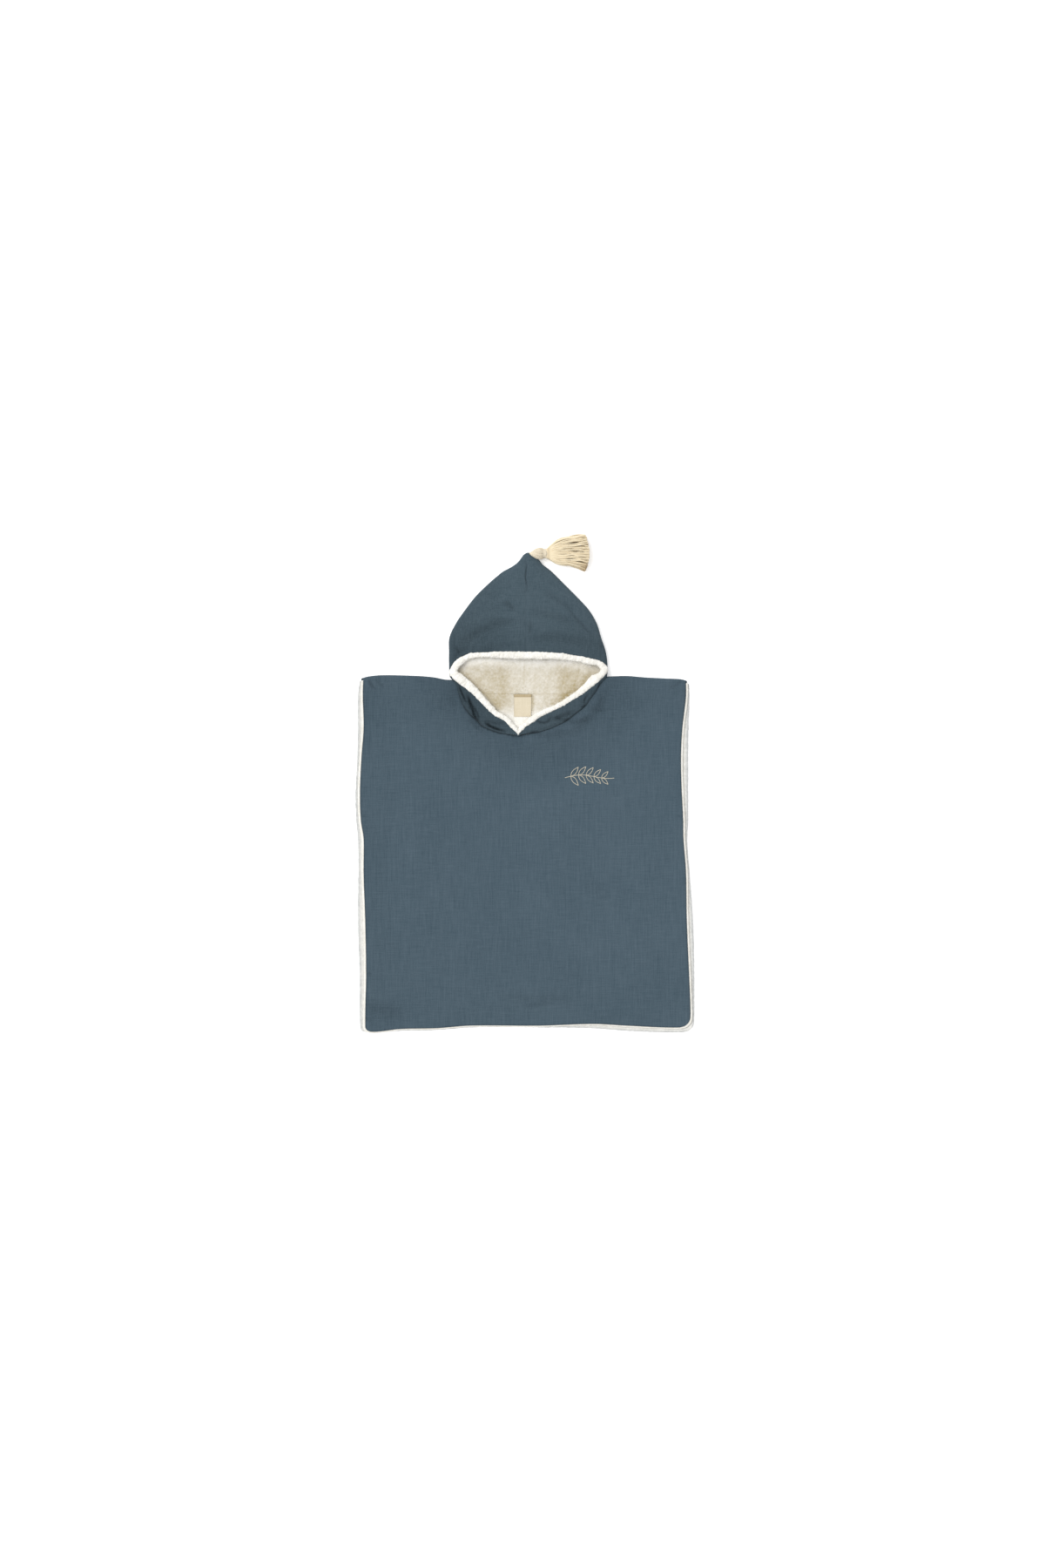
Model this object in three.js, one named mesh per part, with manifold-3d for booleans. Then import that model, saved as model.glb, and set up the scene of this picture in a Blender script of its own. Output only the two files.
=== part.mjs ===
// A child's hooded bath poncho, laid flat on its back with the hood above the shoulders.
// Two straight panels, front and back, are joined at the shoulders and open down both sides.
// Each panel and each half of the hood is a blue gauze outer over a thick terry lining, and the
// terry turns out as a soft roll round the face. A yarn tassel hangs from the point of the hood.
//
// Millimetres, +Z up. In the layout below X runs across, 0 on the hood's centre seam, and Y runs
// up the garment, 0 on the shoulder line. The inner group then moves the layout so that the
// whole part stands over the origin.

import * as THREE from 'three';
import { mergeVertices } from 'three/addons/utils/BufferGeometryUtils.js';
import ManifoldModule from 'manifold-3d';

const kernel = await ManifoldModule();
kernel.setup();

// ---------------------------------------------------------------- driving sizes

const SEAM_GAP = 0.3;          // clear space where two sewn pieces meet
const GAUZE = 1.0;             // outer cloth, two layers of gauze
const TERRY = 3.0;             // towelling with its pile
const BODY_LENGTH = 636;       // shoulder line to hem
const CORNER_LEFT = 9;         // hem corners are cut round
const CORNER_RIGHT = 19;
const LINING_PROUD = 2.5;      // the terry peeps out past the gauze at the open edges

const BACK_OUTER_Z = 0;                                   // undersides of the four flat layers
const BACK_LINING_Z = BACK_OUTER_Z + GAUZE + SEAM_GAP;
const FRONT_LINING_Z = BACK_LINING_Z + TERRY + SEAM_GAP;
const FRONT_OUTER_Z = FRONT_LINING_Z + TERRY + SEAM_GAP;
const LAYERS_MIDDLE = FRONT_LINING_Z - SEAM_GAP / 2;      // level at which front and back part
const SHOULDER_ROLL = FRONT_OUTER_Z + GAUZE / 2 - LAYERS_MIDDLE;

const LABEL = { width: 31, length: 40, thickness: 0.6, across: -5.9 };
const BACK_NECK_DROP = 30.5;   // shoulder line down to the straight back neck seam

// Open side edges: distance below the shoulder line, and how far out each layer reaches.
const SIDES = [
  { down: 0, frontLeft: -291, frontRight: 286, backLeft: -297, backRight: 290.5 },
  { down: 30, frontLeft: -292, frontRight: 286, backLeft: -300, backRight: 291.5 },
  { down: 90, frontLeft: -290.5, frontRight: 279.5, backLeft: -300, backRight: 289.5 },
  { down: 145, frontLeft: -294.5, frontRight: 277, backLeft: -301.5, backRight: 289 },
  { down: 205, frontLeft: -297, frontRight: 278.5, backLeft: -304.5, backRight: 289 },
  { down: 255, frontLeft: -295.5, frontRight: 281, backLeft: -303, backRight: 289 },
  { down: 290, frontLeft: -290.5, frontRight: 281.5, backLeft: -300, backRight: 287.5 },
  { down: 350, frontLeft: -290.5, frontRight: 286, backLeft: -299.5, backRight: 292 },
  { down: 440, frontLeft: -287.5, frontRight: 287.5, backLeft: -300, backRight: 298 },
  { down: 535, frontLeft: -286, frontRight: 291.5, backLeft: -297, backRight: 300 },
  { down: 600, frontLeft: -287.5, frontRight: 294, backLeft: -297, backRight: 300 },
  { down: 640, frontLeft: -287.5, frontRight: 294, backLeft: -296, backRight: 300 },
];

// Hem: distance across, and how far below the shoulder line each panel ends.
const HEM = [
  { across: -300, front: 634, back: 636 },
  { across: -270, front: 636, back: 638 },
  { across: -225, front: 631, back: 634.5 },
  { across: -160, front: 629.5, back: 633 },
  { across: -100, front: 625, back: 628.5 },
  { across: 25, front: 625, back: 628.5 },
  { across: 120, front: 622, back: 630 },
  { across: 180, front: 625, back: 634.5 },
  { across: 260, front: 628.5, back: 637.5 },
  { across: 300, front: 627, back: 636 },
];

// Shoulder seam: it sags a little towards the neck and the arm.
const SHOULDERS = [
  { across: -300, drop: 5 },
  { across: -283, drop: 0 },
  { across: -256, drop: -2.5 },
  { across: -194, drop: -1 },
  { across: -140, drop: 2.5 },
  { across: 0, drop: 2.5 },
  { across: 147, drop: 0 },
  { across: 181, drop: -1 },
  { across: 212, drop: 1.5 },
  { across: 250, drop: 3.5 },
  { across: 278, drop: 5 },
  { across: 292, drop: 9 },
];

// Cross-sections of the flattened hood, from its point down to the front of the neck:
// left and right folds, height of the fold on each side, and extra height of the crown.
const HOOD = [
  { up: 222.3, left: 1, right: 8.5, fold: 7, crown: 0 },
  { up: 219, left: -4, right: 14, fold: 9, crown: 0 },
  { up: 213, left: -8.5, right: 20, fold: 10, crown: 1 },
  { up: 207, left: -13, right: 25.5, fold: 10.5, crown: 1.5 },
  { up: 201, left: -19.5, right: 30, fold: 11, crown: 2 },
  { up: 195, left: -29, right: 37.8, fold: 11.5, crown: 3 },
  { up: 189, left: -40.5, right: 45.3, fold: 11.8, crown: 3.5 },
  { up: 182, left: -49.5, right: 52.5, fold: 12, crown: 4 },
  { up: 168, left: -65.8, right: 66.5, fold: 12.5, crown: 5 },
  { up: 145, left: -89.4, right: 89.4, fold: 13.5, crown: 6.5 },
  { up: 120, left: -109, right: 112.4, fold: 14, crown: 8 },
  { up: 95, left: -126, right: 127, fold: 14.5, crown: 9.5 },
  { up: 70, left: -137.3, right: 134.8, fold: 15, crown: 10.5 },
  { up: 45, left: -138, right: 143, fold: 15, crown: 11 },
  { up: 22, left: -138, right: 146, fold: 15, crown: 9 },
  { up: 0, left: -136.5, right: 145, fold: 15, crown: 5 },
  { up: -7, left: -131, right: 138.5, fold: 14.5, crown: 4 },
  { up: -14, left: -125, right: 133.5, fold: 14, crown: 3 },
  { up: -28, left: -121.5, right: 125, fold: 13.5, crown: 2 },
  { up: -40, left: -117.5, right: 116, fold: 13.5, crown: 1.5 },
  { up: -53, left: -111.5, right: 107, fold: 13.5, crown: 1.5 },
  { up: -67, left: -100.5, right: 89, fold: 13.5, crown: 1 },
  { up: -80, left: -87, right: 72, fold: 13.5, crown: 1 },
  { up: -88, left: -79.5, right: 56, fold: 13, crown: 0.5 },
  { up: -94, left: -68, right: 42, fold: 13, crown: 0.5 },
  { up: -99, left: -54, right: 24, fold: 12.5, crown: 0 },
  { up: -102.5, left: -40, right: 4, fold: 12, crown: 0 },
  { up: -104.5, left: -23, right: -8, fold: 11.5, crown: 0 },
];

// Middle line of the terry roll, once round the face from the front of the neck, with half the
// roll's width at each station.
const ROLL = [
  { across: -14.2, up: -97.7, half: 5 },
  { across: -35.2, up: -76.5, half: 5 },
  { across: -54, up: -65.6, half: 5.5 },
  { across: -71.6, up: -48.2, half: 6.2 },
  { across: -88.3, up: -29.9, half: 7.1 },
  { across: -102, up: -16.5, half: 7.6 },
  { across: -115.9, up: -5.5, half: 8.6 },
  { across: -130, up: 7.3, half: 7 },
  { across: -124.9, up: 19.8, half: 6.6 },
  { across: -113.5, up: 30.5, half: 6.2 },
  { across: -97.2, up: 37.8, half: 5.4 },
  { across: -69, up: 39.4, half: 5.6 },
  { across: -6, up: 38.3, half: 7.2 },
  { across: 56.1, up: 37, half: 6.5 },
  { across: 86.3, up: 33.1, half: 5.8 },
  { across: 109.7, up: 28.5, half: 6 },
  { across: 130.1, up: 23.5, half: 5.6 },
  { across: 140.4, up: 13.3, half: 6.5 },
  { across: 134.8, up: 3.2, half: 6 },
  { across: 122.4, up: -5, half: 8 },
  { across: 111.1, up: -15.6, half: 6.8 },
  { across: 98.6, up: -26.7, half: 6 },
  { across: 78.2, up: -40.3, half: 4.8 },
  { across: 56.1, up: -53.2, half: 4.6 },
  { across: 33, up: -63.5, half: 5.1 },
  { across: 11.6, up: -76, half: 5.6 },
  { across: -1.2, up: -85.4, half: 5 },
];
const ROLL_STEPS = 64;
const ROLL_SIDES = 8;
const ROLL_HALF_HEIGHT = 4.9;
const ROLL_SINK = 3.2;         // middle of the roll below the top of the gauze beside it

// Soft troughs and ridges: the middle of each, its heading in degrees from +X, its length,
// half width and rise.
const HOOD_FOLDS = [
  { across: 1.5, up: 188, heading: 90, length: 54, width: 4, rise: -1.8 },
  { across: -34, up: 74, heading: -14, length: 96, width: 9, rise: -1.6 },
  { across: 42, up: 84, heading: 12, length: 84, width: 9, rise: -1.5 },
  { across: 74, up: 60, heading: 26, length: 66, width: 8, rise: 1.3 },
  { across: -92, up: -64, heading: -70, length: 34, width: 5, rise: -2 },
  { across: -55, up: -91, heading: -27, length: 26, width: 4, rise: -1.2 },
  { across: -116, up: -30, heading: -63, length: 36, width: 3.5, rise: -1.4 },
  { across: 103, up: -56, heading: 34, length: 14, width: 4, rise: -1.6 },
  { across: 76, up: -79, heading: 22, length: 12, width: 4, rise: -1.5 },
  { across: 27, up: -81, heading: 25, length: 24, width: 4, rise: -1.4 },
];
const FRONT_FOLDS = [
  { across: -158, up: -48, heading: -52, length: 74, width: 12, rise: 1.6 },
  { across: -205, up: -30, heading: -20, length: 60, width: 11, rise: 1.2 },
  { across: -280, up: -17, heading: 82, length: 20, width: 5, rise: 1.2 },
  { across: 176, up: -44, heading: 48, length: 78, width: 12, rise: 1.6 },
  { across: 232, up: -28, heading: 14, length: 66, width: 12, rise: 1.2 },
  { across: -190, up: -330, heading: 82, length: 330, width: 46, rise: 1.9 },
  { across: 40, up: -300, heading: 97, length: 300, width: 52, rise: 1.5 },
  { across: 205, up: -430, heading: 96, length: 300, width: 40, rise: 1.7 },
  { across: -40, up: -575, heading: 4, length: 300, width: 24, rise: 1.4 },
];

const TASSEL = {
  up: 220.3,                   // line along which it lies, pointing to +X
  rise: 11.5,                  // height of that line above the ground
  neckStart: 31.2,
  neckEnd: 38,
  neckRadius: 7.2,
  rootEnd: 42,                 // the strands are one solid up to here
  tipStart: 107.5,
  tipEnd: 113.5,
  strandHalf: 0.85,
};
const TASSEL_HEAD = [
  { across: 5, radius: 2.2 },
  { across: 8, radius: 2.6 },
  { across: 12.5, radius: 4.8 },
  { across: 17.2, radius: 7.9 },
  { across: 22, radius: 9.8 },
  { across: 26.6, radius: 10.8 },
  { across: 29.3, radius: 10 },
  { across: 30.5, radius: 8.2 },
];
// The skirt: how far it reaches above and below the line, and half its depth.
const SKIRT = [
  { across: 38, above: 8.6, below: 8.6, deep: 4.6 },
  { across: 45, above: 20, below: 14.6, deep: 6 },
  { across: 56, above: 27.6, below: 18.2, deep: 7.2 },
  { across: 80, above: 34, below: 21.6, deep: 7.8 },
  { across: 101, above: 36, below: 28.6, deep: 7.6 },
  { across: 110, above: 35.5, below: 32.5, deep: 7.4 },
];
const STRAND_LAYERS = [
  { level: -1, strands: 9, reach: 0.74 },
  { level: -0.5, strands: 11, reach: 0.93 },
  { level: 0, strands: 13, reach: 1 },
  { level: 0.5, strands: 11, reach: 0.94 },
  { level: 1, strands: 9, reach: 0.78 },
];
const STRAND_SHARES = [0, 0.1, 0.25, 0.58, 1];

// ---------------------------------------------------------------- finishes

const finish = (color, roughness) => new THREE.MeshStandardMaterial({ color, roughness, metalness: 0 });
const BLUE_GAUZE = () => finish(0x51626f, 0.95);
const CREAM_TERRY = () => finish(0xf2eee2, 1);
const LABEL_COTTON = () => finish(0xebdfc4, 0.9);
const TASSEL_YARN = () => finish(0xe9d9bb, 0.9);

// ---------------------------------------------------------------- small helpers

const range = (count) => Array.from({ length: count }, (_, i) => i);
const mix = (a, b, t) => a + (b - a) * t;
const radians = THREE.MathUtils.degToRad;

// Smooth curve through one column of a table, read at a place along its key column.
function readTable(table, key, place, column) {
  const rising = table[table.length - 1][key] > table[0][key];
  const rows = rising ? table : [...table].reverse();
  const x = THREE.MathUtils.clamp(place, rows[0][key], rows[rows.length - 1][key]);
  const found = rows.findIndex((row, i) => i > 0 && x <= row[key]);
  const i = Math.max(found, 1);
  const slope = (k) => {
    const before = rows[Math.max(k - 1, 0)];
    const after = rows[Math.min(k + 1, rows.length - 1)];
    return (after[column] - before[column]) / (after[key] - before[key]);
  };
  const [a, b] = [rows[i - 1], rows[i]];
  const span = b[key] - a[key];
  const t = (x - a[key]) / span;
  const hermiteA = (1 + 2 * t) * (1 - t) ** 2 * a[column] + t * (1 - t) ** 2 * span * slope(i - 1);
  const hermiteB = t * t * (3 - 2 * t) * b[column] + t * t * (t - 1) * span * slope(i);
  return hermiteA + hermiteB;
}

// Height that the troughs and ridges of a table add at one place.
function relief(folds, x, y) {
  let height = 0;
  for (const fold of folds) {
    const angle = radians(fold.heading);
    const [dx, dy] = [x - fold.across, y - fold.up];
    const alongFold = dx * Math.cos(angle) + dy * Math.sin(angle);
    const acrossFold = -dx * Math.sin(angle) + dy * Math.cos(angle);
    const fade = Math.exp(-((2 * alongFold / fold.length) ** 4));
    height += fold.rise * fade * Math.exp(-((acrossFold / fold.width) ** 2));
  }
  return height;
}

// ---------------------------------------------------------------- solids

function solidOf(points, faces) {
  const mesh = new kernel.Mesh({
    numProp: 3,
    vertProperties: new Float32Array(points.flat()),
    triVerts: new Uint32Array(faces.flat()),
  });
  return new kernel.Manifold(mesh);
}

function solidOfGeometry(geometry) {
  const bare = geometry.clone();
  bare.deleteAttribute('normal');
  bare.deleteAttribute('uv');
  const merged = mergeVertices(bare, 1e-4);
  const mesh = new kernel.Mesh({
    numProp: 3,
    vertProperties: new Float32Array(merged.attributes.position.array),
    triVerts: new Uint32Array(merged.index.array),
  });
  return new kernel.Manifold(mesh);
}

// Closed solid through a row of sections. A section's points are: the right end, the upper side
// from right to left, the left end, and the lower side from left to right, as many as the upper.
// Each end is closed with a strip between the upper and lower sides.
function loft(sections) {
  const size = sections[0].length;
  const half = (size - 2) / 2;
  const faces = [];
  for (const s of range(sections.length - 1)) {
    for (const k of range(size)) {
      const a = s * size + k;
      const b = s * size + (k + 1) % size;
      faces.push([a, b, b + size], [a, b + size, a + size]);
    }
  }
  const lower = (k) => (k === half + 1 ? half + 1 : (size - k) % size);
  const close = (start, outward) => {
    for (const k of range(half + 1)) {
      const quad = [k, k + 1, lower(k + 1), lower(k)];
      for (const tri of [[quad[0], quad[1], quad[2]], [quad[0], quad[2], quad[3]]]) {
        if (new Set(tri).size < 3) continue;
        const turned = outward ? tri : [tri[0], tri[2], tri[1]];
        faces.push(turned.map((corner) => start + corner));
      }
    }
  };
  close(0, false);
  close((sections.length - 1) * size, true);
  const solid = solidOf(sections.flat(), faces);
  if (solid.volume() > 0) return solid;
  return solidOf(sections.flat(), faces.map(([a, b, c]) => [a, c, b]));
}

// Upright block over an outline, between two levels.
function prism(outline, low, high) {
  const shape = new THREE.Shape(outline.map(([x, y]) => new THREE.Vector2(x, y)));
  const geometry = new THREE.ExtrudeGeometry(shape, { depth: high - low, bevelEnabled: false });
  geometry.translate(0, 0, low);
  return solidOfGeometry(geometry);
}

// The one body of a solid after a cut; crumbs under a cubic centimetre are swept up.
function mainBody(solid, name) {
  const bodies = solid.decompose().sort((a, b) => b.volume() - a.volume());
  const crumbs = bodies.slice(1).filter((body) => Math.abs(body.volume()) > 1000);
  if (crumbs.length > 0) throw new Error(`${name} falls into ${crumbs.length + 1} bodies`);
  return bodies[0];
}

function meshOf(solid, name, material) {
  const { vertProperties, triVerts } = mainBody(solid, name).getMesh();
  const geometry = new THREE.BufferGeometry();
  geometry.setAttribute('position', new THREE.BufferAttribute(new Float32Array(vertProperties), 3));
  geometry.setIndex(new THREE.BufferAttribute(new Uint32Array(triVerts), 1));
  geometry.computeVertexNormals();
  const mesh = new THREE.Mesh(geometry, material);
  mesh.name = name;
  return mesh;
}

// ---------------------------------------------------------------- flat panels

// How far an edge is drawn in by a round corner, at a distance from the hem.
function cornerInset(fromHem, radius) {
  if (fromHem >= radius) return 0;
  return radius - Math.sqrt(radius ** 2 - (radius - Math.max(fromHem, 0)) ** 2);
}

// Layer of cloth from the hem to the shoulders. Where turn is +1 or -1 the cloth rolls down or
// up into the shoulder seam, and where it is 0 it stops inside that roll.
function panel({ side, inset, under, thickness, columns, rows, turn, folds }) {
  const middle = under + thickness / 2;
  const cornerRows = [0, 0.08, 0.3, 0.62].map((share) => share * CORNER_RIGHT);
  const rowPlaces = [
    ...cornerRows.map((fromHem) => BODY_LENGTH - fromHem),
    ...range(rows + 1).map((i) => mix(BODY_LENGTH - CORNER_RIGHT, SHOULDER_ROLL, i / rows)),
  ];
  const edge = (down, hand) => {
    const radius = hand === 'Left' ? CORNER_LEFT : CORNER_RIGHT;
    const outermost = readTable(SIDES, 'down', down, side + hand);
    const drawnIn = inset + cornerInset(BODY_LENGTH - down, radius);
    return outermost - Math.sign(outermost) * drawnIn;
  };
  const section = (down, offset, level, tilt) => {
    const [right, left] = [edge(down, 'Right'), edge(down, 'Left')];
    const share = down / BODY_LENGTH;
    const place = (x, outward) => {
      const hem = readTable(HEM, 'across', x, side) - inset;
      const seam = readTable(SHOULDERS, 'across', x, 'drop');
      const y = -mix(seam, hem, share) + offset;
      const rise = relief(folds, x, y) * Math.cos(tilt);
      const step = outward * thickness / 2;
      return [x, y + step * Math.sin(tilt), level + rise + step * Math.cos(tilt)];
    };
    const across = range(columns + 1).map((i) => mix(right, left, i / columns));
    const bulge = thickness / 2;
    return [
      place(right + bulge, 0),
      ...across.map((x) => place(x, 1)),
      place(left - bulge, 0),
      ...across.toReversed().map((x) => place(x, -1)),
    ];
  };
  const sections = rowPlaces.map((down) => section(down, 0, middle, 0));
  if (turn !== 0) {
    const radius = Math.abs(middle - LAYERS_MIDDLE);
    for (const degrees of [22, 44, 66, 84]) {
      const angle = radians(degrees);
      const forward = SHOULDER_ROLL - radius + radius * Math.sin(angle);
      const level = LAYERS_MIDDLE + turn * radius * Math.cos(angle);
      sections.push(section(SHOULDER_ROLL, forward, level, turn * angle));
    }
  }
  return loft(sections);
}

// ---------------------------------------------------------------- hood

const HOOD_ARC = [30, 62, 90];
const POINT_FILLED = 213;
const NECK_FILLED = -100.5;
const CROWN_POINTS = 9;

// Height of the top of the gauze over the hood.
function hoodTop(x, up) {
  const [left, right, fold, crown] = ['left', 'right', 'fold', 'crown'].map(
    (column) => readTable(HOOD, 'up', up, column));
  const radius = fold / 2;
  const s = THREE.MathUtils.clamp((x - left - radius) / Math.max(right - left - fold, 0.01), 0, 1);
  const swell = (4 * s * (1 - s)) ** 0.8;
  return fold + crown * swell + relief(HOOD_FOLDS, x, up) * Math.min(swell * 3, 1);
}

// Section of the whole flattened hood, drawn in evenly by an inset.
function hoodSection(up, inset) {
  const [left, right, fold] = ['left', 'right', 'fold'].map((column) => readTable(HOOD, 'up', up, column));
  const step = 1.5;
  const steepness = (column) => {
    const rise = readTable(HOOD, 'up', up + step, column) - readTable(HOOD, 'up', up - step, column);
    return Math.min(Math.hypot(1, rise / (2 * step)), 1.8);
  };
  const radius = fold / 2;
  const inner = radius - inset;
  const rightMiddle = right - inset * (steepness('right') - 1) - radius;
  const leftMiddle = left + inset * (steepness('left') - 1) + radius;
  const arc = (centre, degrees, hand, lift) => [
    centre + hand * inner * Math.cos(radians(degrees)),
    up,
    radius + lift * inner * Math.sin(radians(degrees)),
  ];
  const across = range(CROWN_POINTS).map((i) => mix(rightMiddle, leftMiddle, (i + 1) / (CROWN_POINTS + 1)));
  const quarter = HOOD_ARC.toReversed();
  return [
    arc(rightMiddle, 0, 1, 1),
    ...HOOD_ARC.map((degrees) => arc(rightMiddle, degrees, 1, 1)),
    ...across.map((x) => [x, up, hoodTop(x, up) - inset]),
    ...quarter.map((degrees) => arc(leftMiddle, degrees, -1, 1)),
    arc(leftMiddle, 0, -1, 1),
    ...HOOD_ARC.map((degrees) => arc(leftMiddle, degrees, -1, -1)),
    ...across.toReversed().map((x) => [x, up, inset]),
    ...quarter.map((degrees) => arc(rightMiddle, degrees, 1, -1)),
  ];
}

// Everything inside the hood's outer face moved in by an inset. The seam allowances fill the
// point and the front of the neck, so a hollow lies only between them.
function hoodSolid(inset) {
  const last = HOOD[HOOD.length - 1];
  const top = inset > 0 ? POINT_FILLED - 1.6 * inset : HOOD[0].up - inset;
  const bottom = inset > 0 ? NECK_FILLED + 1.5 * inset : last.up + inset;
  const inside = HOOD.map((row) => row.up).filter((up) => up < top - 1 && up > bottom + 1);
  return loft([top, ...inside, bottom].map((up) => hoodSection(up, inset)));
}

const rollCurve = new THREE.CatmullRomCurve3(
  ROLL.map(({ across, up, half }) => new THREE.Vector3(across, up, half)), true, 'centripetal');
const rollStations = range(ROLL_STEPS).map((i) => {
  const place = rollCurve.getPoint(i / ROLL_STEPS);
  return { x: place.x, y: place.y, half: place.z };
});

// Soft cloth turned over an edge has a flatter section than an oval.
const fuller = (value) => Math.sign(value) * Math.abs(value) ** 0.8;

// The roll, a tube once round the face. It is closed as two open arms that meet in front.
function rollSolid(grow) {
  const sections = rollStations.concat(rollStations[0]).map(({ x, y, half }, i) => {
    const before = rollStations[(i + ROLL_STEPS - 1) % ROLL_STEPS];
    const after = rollStations[(i + 1) % ROLL_STEPS];
    const [dx, dy] = [after.x - before.x, after.y - before.y];
    const length = Math.hypot(dx, dy);
    const [nx, ny] = [dy / length, -dx / length];
    const middle = hoodTop(x, y) - ROLL_SINK;
    return range(ROLL_SIDES).map((k) => {
      const angle = 2 * Math.PI * k / ROLL_SIDES;
      const out = (half + grow) * fuller(Math.cos(angle));
      const lift = (ROLL_HALF_HEIGHT + grow) * fuller(Math.sin(angle));
      return [x + out * nx, y + out * ny, middle + lift];
    });
  });
  const ring = sections.slice(0, ROLL_STEPS);
  const faces = [];
  for (const s of range(ROLL_STEPS)) {
    for (const k of range(ROLL_SIDES)) {
      const next = (s + 1) % ROLL_STEPS;
      const turn = (k + 1) % ROLL_SIDES;
      const [a, b] = [s * ROLL_SIDES + k, s * ROLL_SIDES + turn];
      const [c, d] = [next * ROLL_SIDES + turn, next * ROLL_SIDES + k];
      faces.push([a, b, c], [a, c, d]);
    }
  }
  const solid = solidOf(ring.flat(), faces);
  if (solid.volume() > 0) return solid;
  return solidOf(ring.flat(), faces.map(([a, b, c]) => [a, c, b]));
}

// Ground that belongs to the back panel in the neck: below this line the hood has no underlayer.
function belowBackNeck(lower) {
  const line = [
    [-160, 2], [-137, 0], [-122, -14], [-102, -25], [-82, -BACK_NECK_DROP],
    [66, -BACK_NECK_DROP], [92, -25], [118, -14], [146, 0], [160, 2], [160, -140], [-160, -140],
  ];
  return prism(line.map(([x, y]) => [x, y - lower]), -5, FRONT_LINING_Z - SEAM_GAP / 2);
}

const faceOpening = prism(rollStations.map(({ x, y }) => [x, y]), LAYERS_MIDDLE, 60);
const CENTRE_FRONT = -14;      // the two arms of the roll meet a little left of the centre seam
function halfOf(hand) {
  const far = hand * 400;
  const near = hand * SEAM_GAP / 2;
  const front = CENTRE_FRONT + near;
  return prism([[far, 400], [near, 400], [near, -42], [front, -60], [front, -200], [far, -200]], -10, 80);
}

// ---------------------------------------------------------------- tassel

const tasselProfile = [
  [TASSEL_HEAD[0].across, 0], ...TASSEL_HEAD.map(({ across, radius }) => [across, radius]),
  [TASSEL.neckStart, TASSEL.neckRadius], [TASSEL.neckEnd, TASSEL.neckRadius],
  [TASSEL.rootEnd, 9], [TASSEL.rootEnd, 0],
];
const lyingAlongX = (geometry) => {
  geometry.rotateZ(-Math.PI / 2);
  geometry.translate(0, TASSEL.up, TASSEL.rise);
  return geometry;
};

// Place of one strand at a share of its way from the neck to its tip. The skirt swells quickly
// past the neck and more slowly after it, and the outer strands follow its edge.
function strandPoint(layer, place, share, turn) {
  const wave = 0.9 * Math.sin(7 * place + 5 * layer.level + 4 * share);
  const tip = mix(TASSEL.tipEnd, TASSEL.tipStart, Math.abs(place) ** 1.5) + 1.5 * Math.sin(turn * 2.4);
  const x = mix(TASSEL.neckEnd, tip, share);
  const spread = readTable(SKIRT, 'across', x, place > 0 ? 'above' : 'below');
  const y = TASSEL.up + place * layer.reach * spread + share * wave;
  const settle = share * share * 1.2 * (1 - layer.level);
  const z = TASSEL.rise + layer.level * readTable(SKIRT, 'across', x, 'deep') - settle + 0.4 * share * wave;
  return [x, y, Math.max(z, TASSEL.strandHalf + 0.5)];
}

function strand(layer, place, turn) {
  const sections = STRAND_SHARES.map((share) => {
    const [x, y, z] = strandPoint(layer, place, share, turn);
    const half = TASSEL.strandHalf * mix(1, 0.8, share);
    return [[x, y + half, z], [x, y, z + half], [x, y - half, z], [x, y, z - half]];
  });
  return loft(sections);
}

// Root block: it follows the layers as they open, so that every strand leaves it clear of the next.
function rootBlock() {
  const outline = [[1, 0], [0.8, 0.62], [0.35, 1], [-0.35, 1], [-0.8, 0.62], [-1, 0],
    [-0.8, -0.62], [-0.35, -1], [0.35, -1], [0.8, -0.62]];
  const stations = [
    { x: TASSEL.neckEnd - 1, wide: 7, high: 6.4, shift: 0 },
    { x: TASSEL.rootEnd, wide: 13.2, high: 6.9, shift: 1.4 },
  ];
  return loft(stations.map(({ x, wide, high, shift }) => outline.map(
    ([y, z]) => [x, TASSEL.up + shift + wide * y, TASSEL.rise + high * z])));
}

function tasselSolid() {
  const body = new THREE.LatheGeometry(tasselProfile.map(([x, r]) => new THREE.Vector2(r, x)), 20);
  const strands = STRAND_LAYERS.flatMap((layer) => range(layer.strands).map((i) => {
    const place = mix(-1, 1, (i + 0.5) / layer.strands);
    return strand(layer, place, i + 10 * layer.level);
  }));
  return kernel.Manifold.union([solidOfGeometry(lyingAlongX(body)), rootBlock(), ...strands]);
}

function bindingSolid() {
  const inner = TASSEL.neckRadius + SEAM_GAP;
  const outer = inner + 1.5;
  const [start, end] = [TASSEL.neckStart + 0.4, TASSEL.neckEnd - 1.4];
  const profile = [[inner, start], [outer - 0.4, start], [outer, start + 1], [outer, end - 1],
    [outer - 0.4, end], [inner, end], [inner, start]];
  return solidOfGeometry(lyingAlongX(
    new THREE.LatheGeometry(profile.map(([r, x]) => new THREE.Vector2(r, x)), 24)));
}

// ---------------------------------------------------------------- sewing it together

const hoodSpace = hoodSolid(-SEAM_GAP);                     // the hood and the gap round it
const roll = rollSolid(0);
const rollSpace = rollSolid(SEAM_GAP);
const hoodOuter = hoodSolid(0).subtract(hoodSolid(GAUZE))
  .subtract(faceOpening).subtract(rollSpace).subtract(belowBackNeck(0));
const hoodLining = hoodSolid(GAUZE + SEAM_GAP).subtract(hoodSolid(GAUZE + SEAM_GAP + TERRY))
  .subtract(faceOpening).subtract(belowBackNeck(0)).add(roll);
const backNeckSpace = hoodSpace.subtract(belowBackNeck(SEAM_GAP));

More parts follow.
